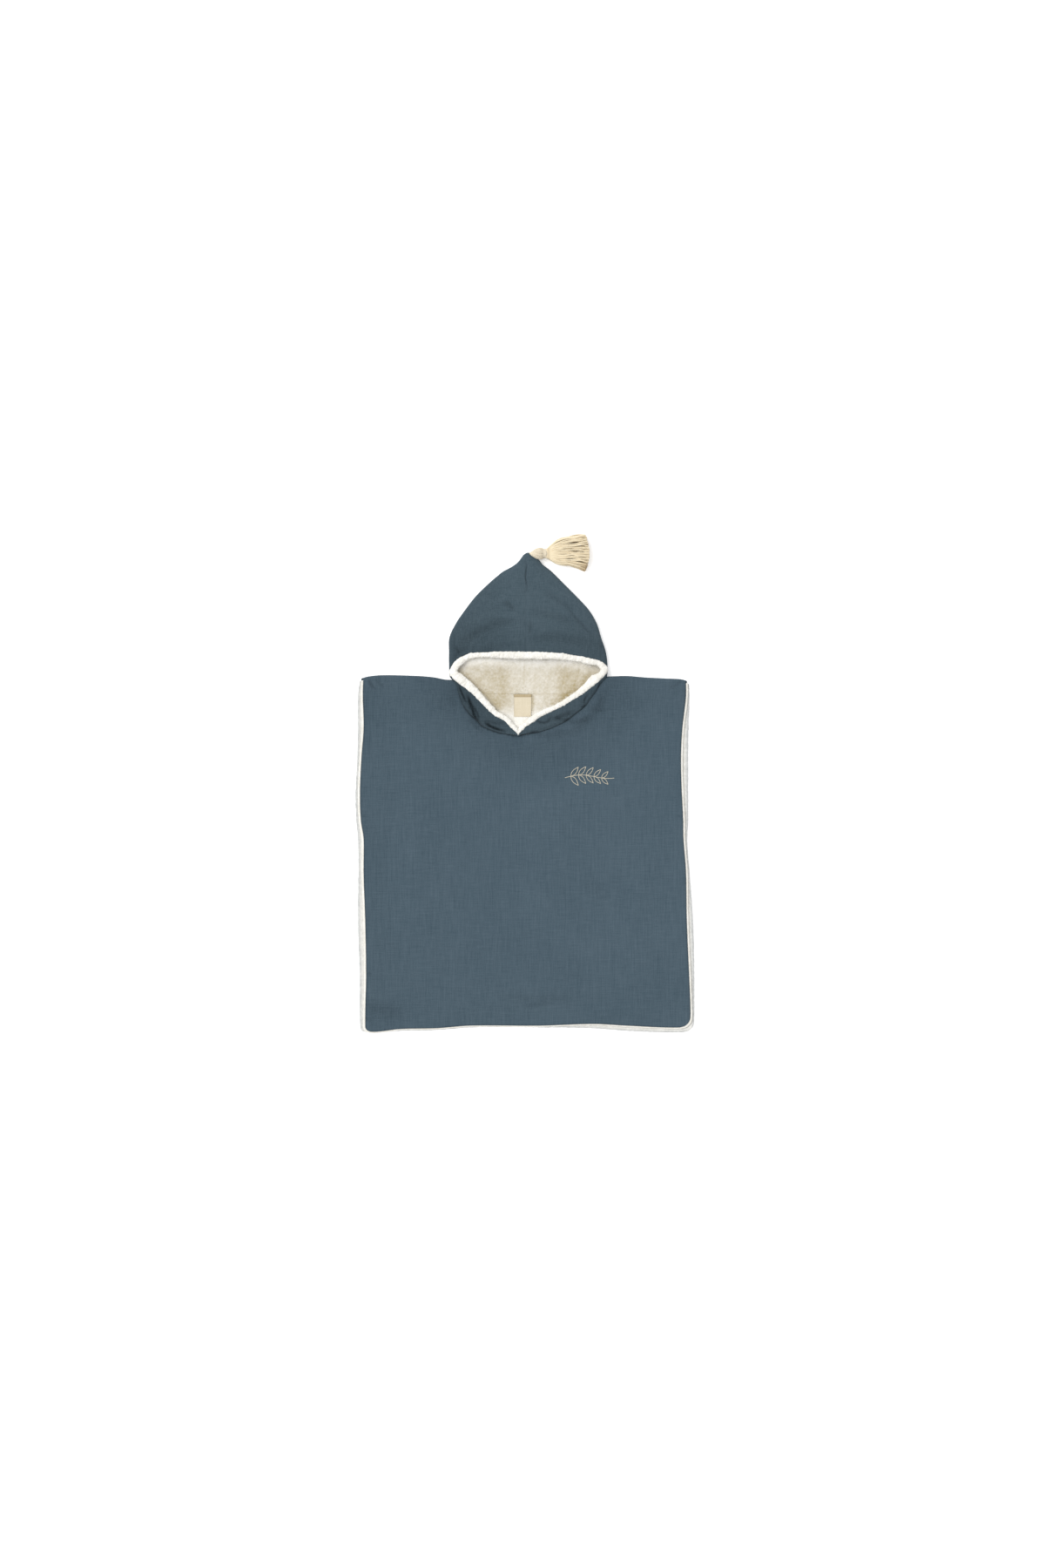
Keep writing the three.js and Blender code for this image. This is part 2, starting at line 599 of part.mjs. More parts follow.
const layers = {
  back_outer: { side: 'back', inset: LINING_PROUD, under: BACK_OUTER_Z, thickness: GAUZE,
    columns: 10, rows: 11, turn: -1, folds: [] },
  back_lining: { side: 'back', inset: 0, under: BACK_LINING_Z, thickness: TERRY,
    columns: 10, rows: 11, turn: 0, folds: [] },
  front_lining: { side: 'front', inset: -LINING_PROUD, under: FRONT_LINING_Z, thickness: TERRY,
    columns: 10, rows: 11, turn: 0, folds: [] },
  front_outer: { side: 'front', inset: 0, under: FRONT_OUTER_Z, thickness: GAUZE,
    columns: 20, rows: 18, turn: 1, folds: FRONT_FOLDS },
};

const poncho = new THREE.Group();
for (const [name, layer] of Object.entries(layers)) {
  const space = layer.side === 'back' ? backNeckSpace : hoodSpace;
  const material = name.endsWith('outer') ? BLUE_GAUZE() : CREAM_TERRY();
  poncho.add(meshOf(panel(layer).subtract(space), name, material));
}
for (const [hand, word] of [[-1, 'left'], [1, 'right']]) {
  const half = halfOf(hand);
  poncho.add(meshOf(hoodOuter.intersect(half), `hood_${word}_outer`, BLUE_GAUZE()));
  poncho.add(meshOf(hoodLining.intersect(half), `hood_${word}_lining`, CREAM_TERRY()));
}

const labelGeometry = new THREE.BoxGeometry(LABEL.width, LABEL.length, LABEL.thickness);
const label = new THREE.Mesh(labelGeometry, LABEL_COTTON());
label.name = 'label';
label.position.set(LABEL.across, -BACK_NECK_DROP - LABEL.length / 2 - 1,
  FRONT_LINING_Z + LABEL.thickness / 2);
poncho.add(label);

poncho.add(meshOf(tasselSolid().subtract(hoodSpace), 'tassel', TASSEL_YARN()));
poncho.add(meshOf(bindingSolid(), 'tassel_binding', TASSEL_YARN()));

// Stand the layout over the origin: middle of its box in X and Y, lowest point at Z 0.
const box = new THREE.Box3().setFromObject(poncho);
const middle = box.getCenter(new THREE.Vector3());
poncho.position.set(-middle.x, -middle.y, -box.min.z);

const group = new THREE.Group();
group.add(poncho);
export default group;
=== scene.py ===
# %% [markdown]
# A child's hooded bath poncho, laid flat on its back
#
# The garment is two straight panels of blue double gauze, each lined with cream towelling, with
# a pointed hood whose lining turns out round the face as a thick soft roll. A yarn tassel hangs
# from the point. This lesson dresses the solid model that the frame brings in: every cloth is
# made again as a fine shell in the same place, then gets its pile, crinkle and stitching.

# %% The frame and its box
import math

import bpy
import numpy as np
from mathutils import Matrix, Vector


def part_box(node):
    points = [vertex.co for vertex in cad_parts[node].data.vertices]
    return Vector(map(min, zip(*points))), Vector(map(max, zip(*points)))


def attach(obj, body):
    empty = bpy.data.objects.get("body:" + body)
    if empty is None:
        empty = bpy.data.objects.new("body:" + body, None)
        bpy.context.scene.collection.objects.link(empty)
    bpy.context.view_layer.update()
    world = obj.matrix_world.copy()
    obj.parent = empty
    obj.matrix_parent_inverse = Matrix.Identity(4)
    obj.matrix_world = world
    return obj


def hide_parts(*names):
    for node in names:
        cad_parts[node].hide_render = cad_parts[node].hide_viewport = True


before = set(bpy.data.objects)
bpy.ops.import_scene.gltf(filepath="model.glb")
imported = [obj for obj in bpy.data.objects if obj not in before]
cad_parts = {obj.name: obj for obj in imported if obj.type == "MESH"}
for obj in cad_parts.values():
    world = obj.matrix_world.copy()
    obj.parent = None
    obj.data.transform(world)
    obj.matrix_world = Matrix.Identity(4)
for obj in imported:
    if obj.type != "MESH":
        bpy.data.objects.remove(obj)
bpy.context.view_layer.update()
scene = bpy.context.scene
print("nodes:", sorted(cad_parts))

# %% [markdown]
# Where the layout lies
#
# The cut is easiest to describe from the garment's own middle: X runs across from the hood's
# centre seam, and Y runs up from the shoulder line, both in millimetres. The neck label has a
# known place in that layout, so its node tells how far the layout was moved.

# %% Layout to row frame
LABEL_ACROSS = -5.9
LABEL_TOP = -31.5
label_low, label_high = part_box("label")
SHIFT_X = 500 * (label_low.x + label_high.x) - LABEL_ACROSS
SHIFT_Y = 1000 * label_high.y - LABEL_TOP
print("layout moved by", round(SHIFT_X, 2), round(SHIFT_Y, 2), "mm")


def to_metres(points):
    """Layout millimetres to metres in the row frame."""
    return (np.asarray(points, float) + (SHIFT_X, SHIFT_Y, 0.0)) * 0.001


# %% [markdown]
# Camera and light
#
# The garment is seen from straight above. A long lens far away keeps the hood from looking
# larger than the hem. Most of the light is an even white sky. One broad soft sun from the upper
# left adds just enough direction for folds to read, without hard shadows.

# %% Camera
# The frame that the layout was measured in, and where the garment's middle lies in it
MM_PER_PIXEL = 1.5625
IMAGE_WIDE, IMAGE_HIGH = 1200, 1800
CENTRE_SEAM_PX, SHOULDER_PX = 604, 777
# Heights in metres, the sensor in millimetres
CAMERA_HEIGHT = 6.0
FAR_CLIP = 50
SENSOR = 36.0

view_height = IMAGE_HIGH * MM_PER_PIXEL * 0.001
aim = to_metres([
    (IMAGE_WIDE / 2 - CENTRE_SEAM_PX) * MM_PER_PIXEL,
    (SHOULDER_PX - IMAGE_HIGH / 2) * MM_PER_PIXEL,
    0.0,
])
bpy.ops.object.camera_add(location=(aim[0], aim[1], CAMERA_HEIGHT), rotation=(0, 0, 0))
camera = bpy.context.object
camera.name = "overhead_camera"
camera.data.sensor_fit = "VERTICAL"
camera.data.sensor_height = SENSOR
camera.data.lens = SENSOR * CAMERA_HEIGHT / view_height
camera.data.clip_end = FAR_CLIP
scene.camera = camera
print("lens", round(camera.data.lens, 1), "mm")

# %% Light
# The sun's turn and breadth are in degrees
SKY_STRENGTH = 0.88
SUN_STRENGTH = 2.0
SUN_TURN = (-16, -36, 0)
SUN_BREADTH = 38

scene.view_settings.view_transform = "Standard"
scene.view_settings.look = "None"

world = bpy.data.worlds.new("studio")
scene.world = world
world.use_nodes = True
sky = world.node_tree.nodes["Background"]
sky.inputs["Color"].default_value = (1.0, 1.0, 1.0, 1)
sky.inputs["Strength"].default_value = SKY_STRENGTH

bpy.ops.object.light_add(type="SUN", rotation=[math.radians(a) for a in SUN_TURN])
window_light = bpy.context.object
window_light.name = "window_light"
window_light.data.angle = math.radians(SUN_BREADTH)
window_light.data.energy = SUN_STRENGTH
print("sun", SUN_STRENGTH, "sky", SKY_STRENGTH)

# %% [markdown]
# Cloth tables
#
# These are the same sizes that the solid pieces were cut from: how far each layer reaches at
# the open sides, at the hem and at the shoulders, the hood's cross-sections from its point to
# the front of the neck, and the middle line of the roll round the face.

# %% Sizes in millimetres
SEAM_GAP = 0.3
GAUZE = 1.0
TERRY = 3.0
BODY_LENGTH = 636
CORNER = {"Left": 9, "Right": 19}
LINING_PROUD = 2.5
BACK_CLOTH_Z = 0.0
BACK_TOWEL_Z = BACK_CLOTH_Z + GAUZE + SEAM_GAP
FRONT_TOWEL_Z = BACK_TOWEL_Z + TERRY + SEAM_GAP
FRONT_CLOTH_Z = FRONT_TOWEL_Z + TERRY + SEAM_GAP
LAYERS_MIDDLE = FRONT_TOWEL_Z - SEAM_GAP / 2
SHOULDER_ROLL = FRONT_CLOTH_Z + GAUZE / 2 - LAYERS_MIDDLE
BACK_NECK_DROP = 30.5


def columns(names, rows):
    """A table as one array for each named column."""
    return dict(zip(names.split(), np.array(rows, float).T))


SIDES = columns("down frontLeft frontRight backLeft backRight", [
    (0, -291, 286, -297, 290.5), (30, -292, 286, -300, 291.5), (90, -290.5, 279.5, -300, 289.5),
    (145, -294.5, 277, -301.5, 289), (205, -297, 278.5, -304.5, 289), (255, -295.5, 281, -303, 289),
    (290, -290.5, 281.5, -300, 287.5), (350, -290.5, 286, -299.5, 292), (440, -287.5, 287.5, -300, 298),
    (535, -286, 291.5, -297, 300), (600, -287.5, 294, -297, 300), (640, -287.5, 294, -296, 300),
])
HEM = columns("across front back", [
    (-300, 634, 636), (-270, 636, 638), (-225, 631, 634.5), (-160, 629.5, 633), (-100, 625, 628.5),
    (25, 625, 628.5), (120, 622, 630), (180, 625, 634.5), (260, 628.5, 637.5), (300, 627, 636),
])
SHOULDERS = columns("across drop", [
    (-300, 5), (-283, 0), (-256, -2.5), (-194, -1), (-165, 1.5), (-140, 6), (0, 4), (147, 0), (181, -1),
    (212, 1.5), (250, 3.5), (278, 5), (292, 9),
])
HOOD = columns("up left right fold crown", [
    (-104.5, -23, -8, 11.5, 0), (-102.5, -40, 4, 12, 0), (-99, -54, 24, 12.5, 0),
    (-94, -68, 42, 13, 0.5), (-88, -79.5, 56, 13, 0.5), (-80, -87, 72, 13.5, 1),
    (-67, -100.5, 89, 13.5, 1), (-53, -111.5, 107, 13.5, 1.5), (-40, -117.5, 116, 13.5, 1.5),
    (-28, -121.5, 125, 13.5, 2), (-14, -125, 133.5, 14, 3), (-7, -131, 138.5, 14.5, 4),
    (0, -136.5, 145, 15, 5), (22, -138, 146, 15, 9), (45, -138, 143, 15, 11),
    (70, -137.3, 134.8, 15, 10.5), (95, -126, 127, 14.5, 9.5), (120, -109, 112.4, 14, 8),
    (145, -89.4, 89.4, 13.5, 6.5), (168, -65.8, 66.5, 12.5, 5), (182, -49.5, 52.5, 12, 4),
    (189, -40.5, 45.3, 11.8, 3.5), (195, -29, 37.8, 11.5, 3), (201, -19.5, 30, 11, 2),
    (207, -13, 25.5, 10.5, 1.5), (213, -8.5, 20, 10, 1), (219, -4, 14, 9, 0), (222.3, 1, 8.5, 7, 0),
])
ROLL = [
    (-14.2, -97.7, 5), (-35.2, -76.5, 5), (-54, -65.6, 5.5), (-71.6, -48.2, 6.2),
    (-88.3, -29.9, 7.1), (-102, -16.5, 7.6), (-115.9, -5.5, 8.6), (-130, 7.3, 7),
    (-124.9, 19.8, 6.6), (-113.5, 30.5, 6.2), (-97.2, 37.8, 5.4), (-69, 39.4, 5.6),
    (-6, 38.3, 7.2), (56.1, 37, 6.5), (86.3, 33.1, 5.8), (109.7, 28.5, 6), (130.1, 23.5, 5.6),
    (140.4, 13.3, 6.5), (134.8, 3.2, 6), (122.4, -5, 8), (111.1, -15.6, 6.8), (98.6, -26.7, 6),
    (78.2, -40.3, 4.8), (56.1, -53.2, 4.6), (33, -63.5, 5.1), (11.6, -76, 5.6), (-1.2, -85.4, 5),
]
ROLL_HALF_HEIGHT = 4.9
ROLL_SINK = 3.2
POINT_FILLED = 213
NECK_FILLED = -100.5

# %% [markdown]
# Creases
#
# A crease is a soft trough or ridge along a line of a few points. It has a half width, a rise
# and a dark share, because light hardly reaches the bottom of a narrow fold. The broad ones on
# the crown and the body are where double gauze relaxes, and the short deep ones follow the neck
# seam, where two thick seam allowances of towelling push the gauze about.

# %% Creases of the hood: line, half width, rise, dark share
HOOD_CREASES = [
    ([(1.8, 200), (-0.2, 185), (-0.7, 177), (2.4, 162)], 1.4, -1.2, 0.42),
    ([(2.4, 165), (3.4, 148)], 3, -0.5, 0.08),
    ([(-37, 133), (-28, 125), (-20, 119)], 4.5, -1.6, 0.3),
    ([(-34, 140), (-24, 132), (-14, 126)], 6, 1.3, 0),
    ([(-20, 112), (-8, 98), (-2, 92)], 5, 1.2, 0),
    ([(-112, 62), (-79, 82), (-50, 94), (-20, 97)], 7.5, -2.4, 0.2),
    ([(-96, 44), (-66, 58), (-40, 62), (-12, 60)], 8, 1.7, 0),
    ([(-72, 108), (-40, 108), (-14, 104)], 7, 1.7, 0),
    ([(-118, 30), (-84, 36), (-52, 38)], 6, -1.2, 0.12),
    ([(18, 115), (63, 105), (92, 95)], 7, -1.8, 0.17),
    ([(14, 67), (47, 69), (77, 65), (118, 58)], 8, -2.1, 0.16),
    ([(30, 86), (66, 86), (104, 76)], 8, 1.7, 0),
    ([(22, 50), (62, 49), (98, 43)], 7, 1.3, 0),
    ([(76, 122), (88, 106), (100, 94), (118, 75)], 2.6, -1.1, 0.2),
    ([(66, 120), (80, 104), (94, 88)], 5, 1.0, 0),
    ([(8, 98), (9, 76)], 4, -1.2, 0.18),
    ([(-97, 128), (-98, 108)], 3, 0.8, 0),
    ([(-126, 54), (-118, 40)], 3, -1.1, 0.2),
    ([(131, 62), (136, 50)], 3, -1.0, 0.2),
    ([(36, 152), (66, 132), (84, 122)], 5, -1.1, 0.15),
    ([(-14, 152), (-34, 142), (-62, 122)], 7, 1.2, 0),
    ([(-121, -13), (-117.5, -24), (-112, -36), (-107, -46)], 1.8, -1.6, 0.6),
    ([(-118, -44), (-111, -52), (-102, -64), (-92, -74)], 4.5, 1.6, 0),
    ([(-104, -36), (-99.5, -48), (-96, -58), (-93.5, -67), (-90, -74), (-85, -80)], 2.8, -2.6, 0.9),
    ([(-94, -52), (-88, -64), (-83, -75)], 1.9, -1.4, 0.5),
    ([(-86, -50), (-76, -62), (-66, -72)], 3.5, 1.2, 0),
    ([(-72, -84), (-62, -90), (-51, -94), (-40, -97)], 2.4, -2.4, 0.9),
    ([(-74, -79), (-56, -83), (-38, -84)], 4, -0.8, 0.25),
    ([(-82, -82), (-66, -90), (-48, -97)], 3, 1.2, 0),
    ([(-50, -74), (-34, -84), (-22, -92)], 3.5, 1.0, 0),
    ([(18, -78), (25, -82), (33, -83), (40, -80.5), (44, -73)], 2.2, -1.4, 0.5),
    ([(6, -92), (30, -90), (54, -84), (72, -74)], 5, 1.8, 0),
    ([(46, -77), (62, -72), (84, -63)], 4.5, -1.6, 0.45),
    ([(55, -73), (63, -78)], 2.5, -1.0, 0.35),
    ([(110, -32), (105, -41), (103.5, -48)], 2, -1.4, 0.55),
    ([(132, -9), (130, -19), (128.5, -26)], 1.8, -1.4, 0.55),
    ([(98, -38), (96, -52), (88, -62)], 4, 1.1, 0),
    ([(7, -100.5), (19, -99.5)], 2, -1.6, 0.9),
    ([(66, -79), (77, -75.5)], 2.4, -1.4, 0.6),
    ([(99, -55), (107, -51)], 2, -1.4, 0.6),
    ([(-130, 30), (-120, 44), (-104, 52)], 4, -0.8, 0.14),
]

# %% Creases of the front: relaxed folds, pulls from the neck and shoulders, kinks at the sides
FRONT_CREASES = [
    ([(-180, -26), (-158, -48), (-140, -76)], 12, 1.6, 0),
    ([(-232, -24), (-205, -30), (-178, -36)], 11, 1.2, 0),
    ([(152, -22), (176, -44), (196, -70)], 12, 1.6, 0),
    ([(206, -30), (232, -28), (262, -22)], 12, 1.2, 0),
    ([(-204, -170), (-190, -330), (-176, -490)], 46, 1.9, 0),
    ([(56, -150), (40, -300), (26, -450)], 52, 1.5, 0),
    ([(216, -290), (205, -430), (196, -570)], 40, 1.7, 0),
    ([(-190, -580), (-40, -575), (120, -568)], 24, 1.4, 0),
    ([(-287, -9), (-281, -17), (-276, -25)], 2.6, 1.2, 0),
    ([(-281, -7), (-277, -14), (-271, -21)], 2.2, -1.0, 0.3),
    ([(-268, -6), (-262, -13), (-254, -18)], 2.4, -0.8, 0.2),
    ([(-255, -6), (-248, -12), (-238, -15)], 2.4, 0.7, 0),
    ([(278, -8), (270, -16), (258, -20)], 2.6, -0.8, 0.2),
    ([(262, -6), (250, -13), (236, -16)], 2.6, 0.7, 0),
    ([(76, -82), (96, -80), (118, -76)], 5, -1.2, 0.28),
    ([(20, -106), (44, -104), (66, -96)], 5, -1.0, 0.2),
    ([(-100, -76), (-88, -90), (-74, -98)], 4.5, -0.9, 0.2),
    ([(-128, -62), (-112, -74), (-98, -92), (-80, -104)], 9, 1.2, 0),
    ([(74, -100), (102, -80), (124, -58)], 10, 1.2, 0),
    ([(-60, -120), (-16, -128), (40, -122)], 8, 1.0, 0),
    ([(24, -110), (54, -101), (86, -86), (110, -64), (131, -38), (146, -12)], 9, 3.8, 0),
    ([(112, -52), (126, -60), (148, -62)], 5, -0.8, 0.12),
    ([(134, -28), (136, -48), (130, -66)], 5, -0.8, 0.1),
    ([(-128, -20), (-132, -40), (-126, -58)], 5, -0.8, 0.12),
    ([(-6, -590), (16, -587), (44, -583)], 4, 0.9, 0.12),
    ([(-36, -574), (0, -577), (78, -578)], 7, -1.0, 0.12),
    ([(-286, -592), (-250, -598), (-222, -604)], 14, -1.3, 0.17),
    ([(-286, -530), (-276, -533)], 3, -0.8, 0.15),
    ([(-287, -612), (-277, -617)], 3, -0.8, 0.2),
    ([(110, -372), (132, -384), (150, -404)], 12, -0.8, 0.07),
    ([(-298, -250), (-282, -249)], 3, -0.9, 0.1),
    ([(-292, -262), (-272, -270)], 4, 0.8, 0),
    ([(286, -250), (270, -250)], 3, -0.9, 0.1),
    ([(280, -262), (262, -268)], 4, 0.8, 0),
    ([(-262, -596), (-238, -606)], 9, 1.0, 0),
    ([(262, -120), (256, -200), (262, -270)], 10, 0.8, 0),
    ([(-262, -110), (-254, -180), (-262, -240)], 10, 0.8, 0),
    ([(110, -606), (160, -600), (212, -604)], 9, 0.8, 0),
    ([(-130, -440), (-90, -470), (-40, -480)], 18, 0.9, 0),
    ([(90, -180), (130, -200), (170, -196)], 16, 0.8, 0),
]
print(len(HOOD_CREASES), "creases on the hood,", len(FRONT_CREASES), "on the front")

# %% Height and darkness of creases
# How many half widths a crease reaches, and how much it fades towards its two ends
CREASE_REACH = 3
CREASE_FADE = 0.9


def crease_field(creases, x, y):
    """Height and darkness that a set of creases gives at many places."""
    x, y = np.broadcast_arrays(np.asarray(x, float), np.asarray(y, float))
    height, dark = np.zeros(x.shape), np.zeros(x.shape)
    for line, width, rise, share in creases:
        points = np.array(line, float)
        reach = CREASE_REACH * width
        low, high = points.min(axis=0) - reach, points.max(axis=0) + reach
        near = (x > low[0]) & (x < high[0]) & (y > low[1]) & (y < high[1])
        if not near.any():
            continue
        px, py = x[near], y[near]
        lengths = np.linalg.norm(np.diff(points, axis=0), axis=1)
        before = np.concatenate([[0], np.cumsum(lengths)])
        best, along = np.full(px.shape, 1e9), np.zeros(px.shape)
        for k, length in enumerate(lengths):
            step = (points[k + 1] - points[k]) / length
            first, last = k == 0, k == len(lengths) - 1
            t = (px - points[k, 0]) * step[0] + (py - points[k, 1]) * step[1]
            held = np.clip(t, -reach if first else 0, length + reach if last else length)
            gap = np.hypot(px - points[k, 0] - held * step[0], py - points[k, 1] - held * step[1])
            closer = gap < best
            best = np.where(closer, gap, best)
            along = np.where(closer, before[k] + held, along)
        middle = 2 * along / before[-1] - 1
        shape = np.exp(-((best / width) ** 2) - CREASE_FADE * middle ** 4)
        height[near] += rise * shape
        dark[near] += share * shape
    return height, np.minimum(dark, 1)


# %% Smooth steps, bumps and curves
def ramp(value, low, high):
    """A smooth step from 0 at low to 1 at high."""
    t = np.clip((value - low) / (high - low), 0, 1)
    return t * t * (3 - 2 * t)


def bell(gap, width):
    """A soft bump, 1 at no gap and about a third at a gap of one width."""
    return np.exp(-((gap / width) ** 2))


def hermite(t, span, first, leaving, last, arriving):
    """A smooth stretch between two values that has a given slope at each end."""
    start = (1 + 2 * t) * (1 - t) ** 2 * first + t * (1 - t) ** 2 * span * leaving
    end = t * t * (3 - 2 * t) * last + t * t * (t - 1) * span * arriving
    return start + end


def distances(line):
    """How far every point of a line lies along it from the first one."""
    return np.concatenate([[0], np.cumsum(np.linalg.norm(np.diff(line, axis=0), axis=1))])


def read_table(table, key, place, column):
    """A smooth curve through one column of a table, read at many places along its key."""
    keys, values = table[key], table[column]
    slopes = np.gradient(values) / np.gradient(keys)
    x = np.clip(place, keys[0], keys[-1])
    i = np.clip(np.searchsorted(keys, x, side="left"), 1, len(keys) - 1)
    span = keys[i] - keys[i - 1]
    t = (x - keys[i - 1]) / span
    return hermite(t, span, values[i - 1], slopes[i - 1], values[i], slopes[i])


# %% [markdown]
# From sections to shells
#
# A shell is easiest to keep closed when it is lofted: each section is a ring of points round
# the cloth, and neighbouring rings are joined by four-sided faces. The upper and lower sides
# have as many points each, so that the two ends close with a strip of faces between them.

# %% Objects and their points
def add_object(name, points, faces):
    """A mesh object from points in layout millimetres."""
    mesh = bpy.data.meshes.new(name)
    mesh.from_pydata(to_metres(points).tolist(), [], faces)
    mesh.validate()
    item = bpy.data.objects.new(name, mesh)
    scene.collection.objects.link(item)
    return item


def mesh_points(item):
    """The points of a mesh, a row of three for each, in the mesh's own units."""
    flat = np.empty(len(item.data.vertices) * 3)
    item.data.vertices.foreach_get("co", flat)
    return flat.reshape(-1, 3)


def layout_points(item):
    """The points of a mesh in layout millimetres."""
    return mesh_points(item) * 1000 - (SHIFT_X, SHIFT_Y, 0)


def place_points(item, points):
    """Moves the points of a mesh to places in layout millimetres."""
    item.data.vertices.foreach_set("co", to_metres(points).ravel())
    item.data.update()


def pick(item):
    """Makes one object the only selected and active one."""
    bpy.ops.object.select_all(action="DESELECT")
    item.select_set(True)
    bpy.context.view_layer.objects.active = item


def face_out(item):
    """Turns every face of a closed mesh outwards."""
    pick(item)
    bpy.ops.object.mode_set(mode="EDIT")
    bpy.ops.mesh.select_all(action="SELECT")
    bpy.ops.mesh.normals_make_consistent(inside=False)
    bpy.ops.object.mode_set(mode="OBJECT")


# %% Lofts and blocks
def loft(name, sections):
    """A closed shell through rings of points: right end, upper side, left end, lower side."""
    sections = np.asarray(sections, float)
    count, size = sections.shape[:2]
    ring = np.arange(size)
    start = np.arange(count - 1)[:, None] * size
    a, b = start + ring, start + (ring + 1) % size
    quads = np.stack([a, b, b + size, a + size], axis=-1).reshape(-1, 4).tolist()
    middle = size // 2
    for base in (0, (count - 1) * size):
        for k in range(middle):
            corners = [k, k + 1, (size - k - 1) % size, (size - k) % size]
            loop = [base + c for c in dict.fromkeys(corners)]
            quads.append(loop if base == 0 else loop[::-1])
    item = add_object(name, sections.reshape(-1, 3), quads)
    face_out(item)
    return item


def block(name, outline, low, high):
    """An upright block over an outline."""
    n = len(outline)
    points = [(x, y, low) for x, y in outline] + [(x, y, high) for x, y in outline]
    sides = [(i, (i + 1) % n, n + (i + 1) % n, n + i) for i in range(n)]
    item = add_object(name, points, [list(range(n))[::-1], list(range(n, 2 * n))] + sides)
    face_out(item)
    return item


# %% Cuts and copies
def combine(item, operation, *tools):
    """Cuts an object by others, or joins them to it, and leaves the others as they are."""
    for tool in tools:
        modifier = item.modifiers.new("combine", "BOOLEAN")
        modifier.operation = operation
        modifier.solver = "MANIFOLD"
        modifier.object = tool
        pick(item)
        bpy.ops.object.modifier_apply(modifier=modifier.name)
    return item


def twin(item, name):
    """A copy with a mesh of its own."""
    other = item.copy()
    other.data = item.data.copy()
    other.name = name
    scene.collection.objects.link(other)
    return other


def drop(*items):
    """Deletes helper objects."""
    for item in items:
        bpy.data.objects.remove(item)


# %% [markdown]
# The hood's form
#
# Lying flat, the hood is a shallow pocket. Its underlayer rests on the table, its sides fold
# round, and its upper layer rises a little towards the brow. One function gives a section of
# the pocket moved in by an inset, and an inset for each face of each cloth gives the layers.

# %% Top of the hood
HOOD_ARC = np.array([8, 20, 32, 44, 56, 68, 80, 90])
CROWN_POINTS = 130
HOOD_STEP = 2.0
SEAM_ACROSS, SEAM_WIDTH, SEAM_VALLEY = 0.5, 1.8, 0.5
STEEPEST = 1.8
RISE_STEP = 1.5
POINT_THICK, NECK_THICK = 1.6, 1.5
END_ROWS = (0.4, 1.0)


def hood_row(up):
    """Left edge, right edge, fold height and crown height at places up the hood."""
    return [read_table(HOOD, "up", up, column) for column in ("left", "right", "fold", "crown")]


def hood_top(x, up):
    """Height of the top of the gauze over the hood."""
    left, right, fold, crown = hood_row(up)
    radius = fold / 2
    s = np.clip((x - left - radius) / np.maximum(right - left - fold, 0.01), 0, 1)
    swell = (4 * s * (1 - s)) ** 0.8
    seam = SEAM_VALLEY * bell(x - SEAM_ACROSS, SEAM_WIDTH) * np.clip(up / 30, 0, 1)
    creases, _ = crease_field(HOOD_CREASES, x, up)
    return fold + crown * swell + (creases - seam) * np.minimum(swell * 3, 1)


# %% Hood sections
def crown_heights(x, up):
    """The top's heights for one row of places at each station."""
    return np.stack([hood_top(row, np.full_like(row, u)) for row, u in zip(x, up)])


def hood_sections(places, inset):
    """Rings round the flattened hood at several places, all moved in by an inset."""
    up = np.asarray(places, float)
    left, right, fold, _ = hood_row(up)

    def steepness(column):
        """How much longer an edge is than its rise, so that a slanting wall keeps its thickness."""
        above, below = (read_table(HOOD, "up", up + s, column) for s in (RISE_STEP, -RISE_STEP))
        return np.minimum(np.hypot(1, (above - below) / (2 * RISE_STEP)), STEEPEST)

    radius = fold / 2
    inner = radius - inset
    right_middle = right - inset * (steepness("right") - 1) - radius
    left_middle = left + inset * (steepness("left") - 1) + radius
    quarter = np.radians(HOOD_ARC)
    half_turn = np.concatenate([[0], quarter])

    def arc(centre, angles, hand, lift):
        """A part of the rounded fold on one side, above or below its middle."""
        x = centre[:, None] + hand * inner[:, None] * np.cos(angles)
        z = radius[:, None] + lift * inner[:, None] * np.sin(angles)
        return np.stack([x, np.broadcast_to(up[:, None], x.shape), z], axis=-1)

    shares = (np.arange(CROWN_POINTS) + 1) / (CROWN_POINTS + 1)
    x = right_middle[:, None] + (left_middle - right_middle)[:, None] * shares
    y = np.broadcast_to(up[:, None], x.shape)
    high = crown_heights(x, up) - inset
    upper = np.stack([x, y, high], axis=-1)
    lower = np.stack([x, y, np.full_like(x, inset)], axis=-1)[:, ::-1]
    return np.concatenate([
        arc(right_middle, half_turn, 1, 1), upper, arc(left_middle, quarter[::-1], -1, 1),
        arc(left_middle, half_turn, -1, -1), lower, arc(right_middle, quarter[::-1], 1, -1),
    ], axis=1)


# %% Hood solid
def hood_solid(name, inset):
    """Everything inside the hood's outer face moved in by an inset."""
    first, last = HOOD["up"][-1], HOOD["up"][0]
    top = POINT_FILLED - POINT_THICK * inset if inset > 0 else first - inset
    bottom = NECK_FILLED + NECK_THICK * inset if inset > 0 else last + inset
    steps = max(int((top - bottom) / HOOD_STEP), 2)
    places = np.linspace(bottom, top, steps)
    if inset <= 0:
        near_ends = [place for row in END_ROWS for place in (bottom + row, top - row)]
        places = np.unique(np.concatenate([places, near_ends]))
    return loft(name, hood_sections(places, inset))


# %% [markdown]
# The roll round the face
#
# The towelling is turned over at the face edge, so its pile stands out on both sides and the
# edge becomes a soft roll. Its middle line passes through a few measured stations, a closed
# curve is drawn through them, and an oval section is carried round it.

# %% Roll
ROLL_STEPS, ROLL_SIDES = 560, 26
SPACE_STEPS, SPACE_SIDES = 140, 16
MOUTH_STEPS = 120
ROLL_FULLNESS = 0.8


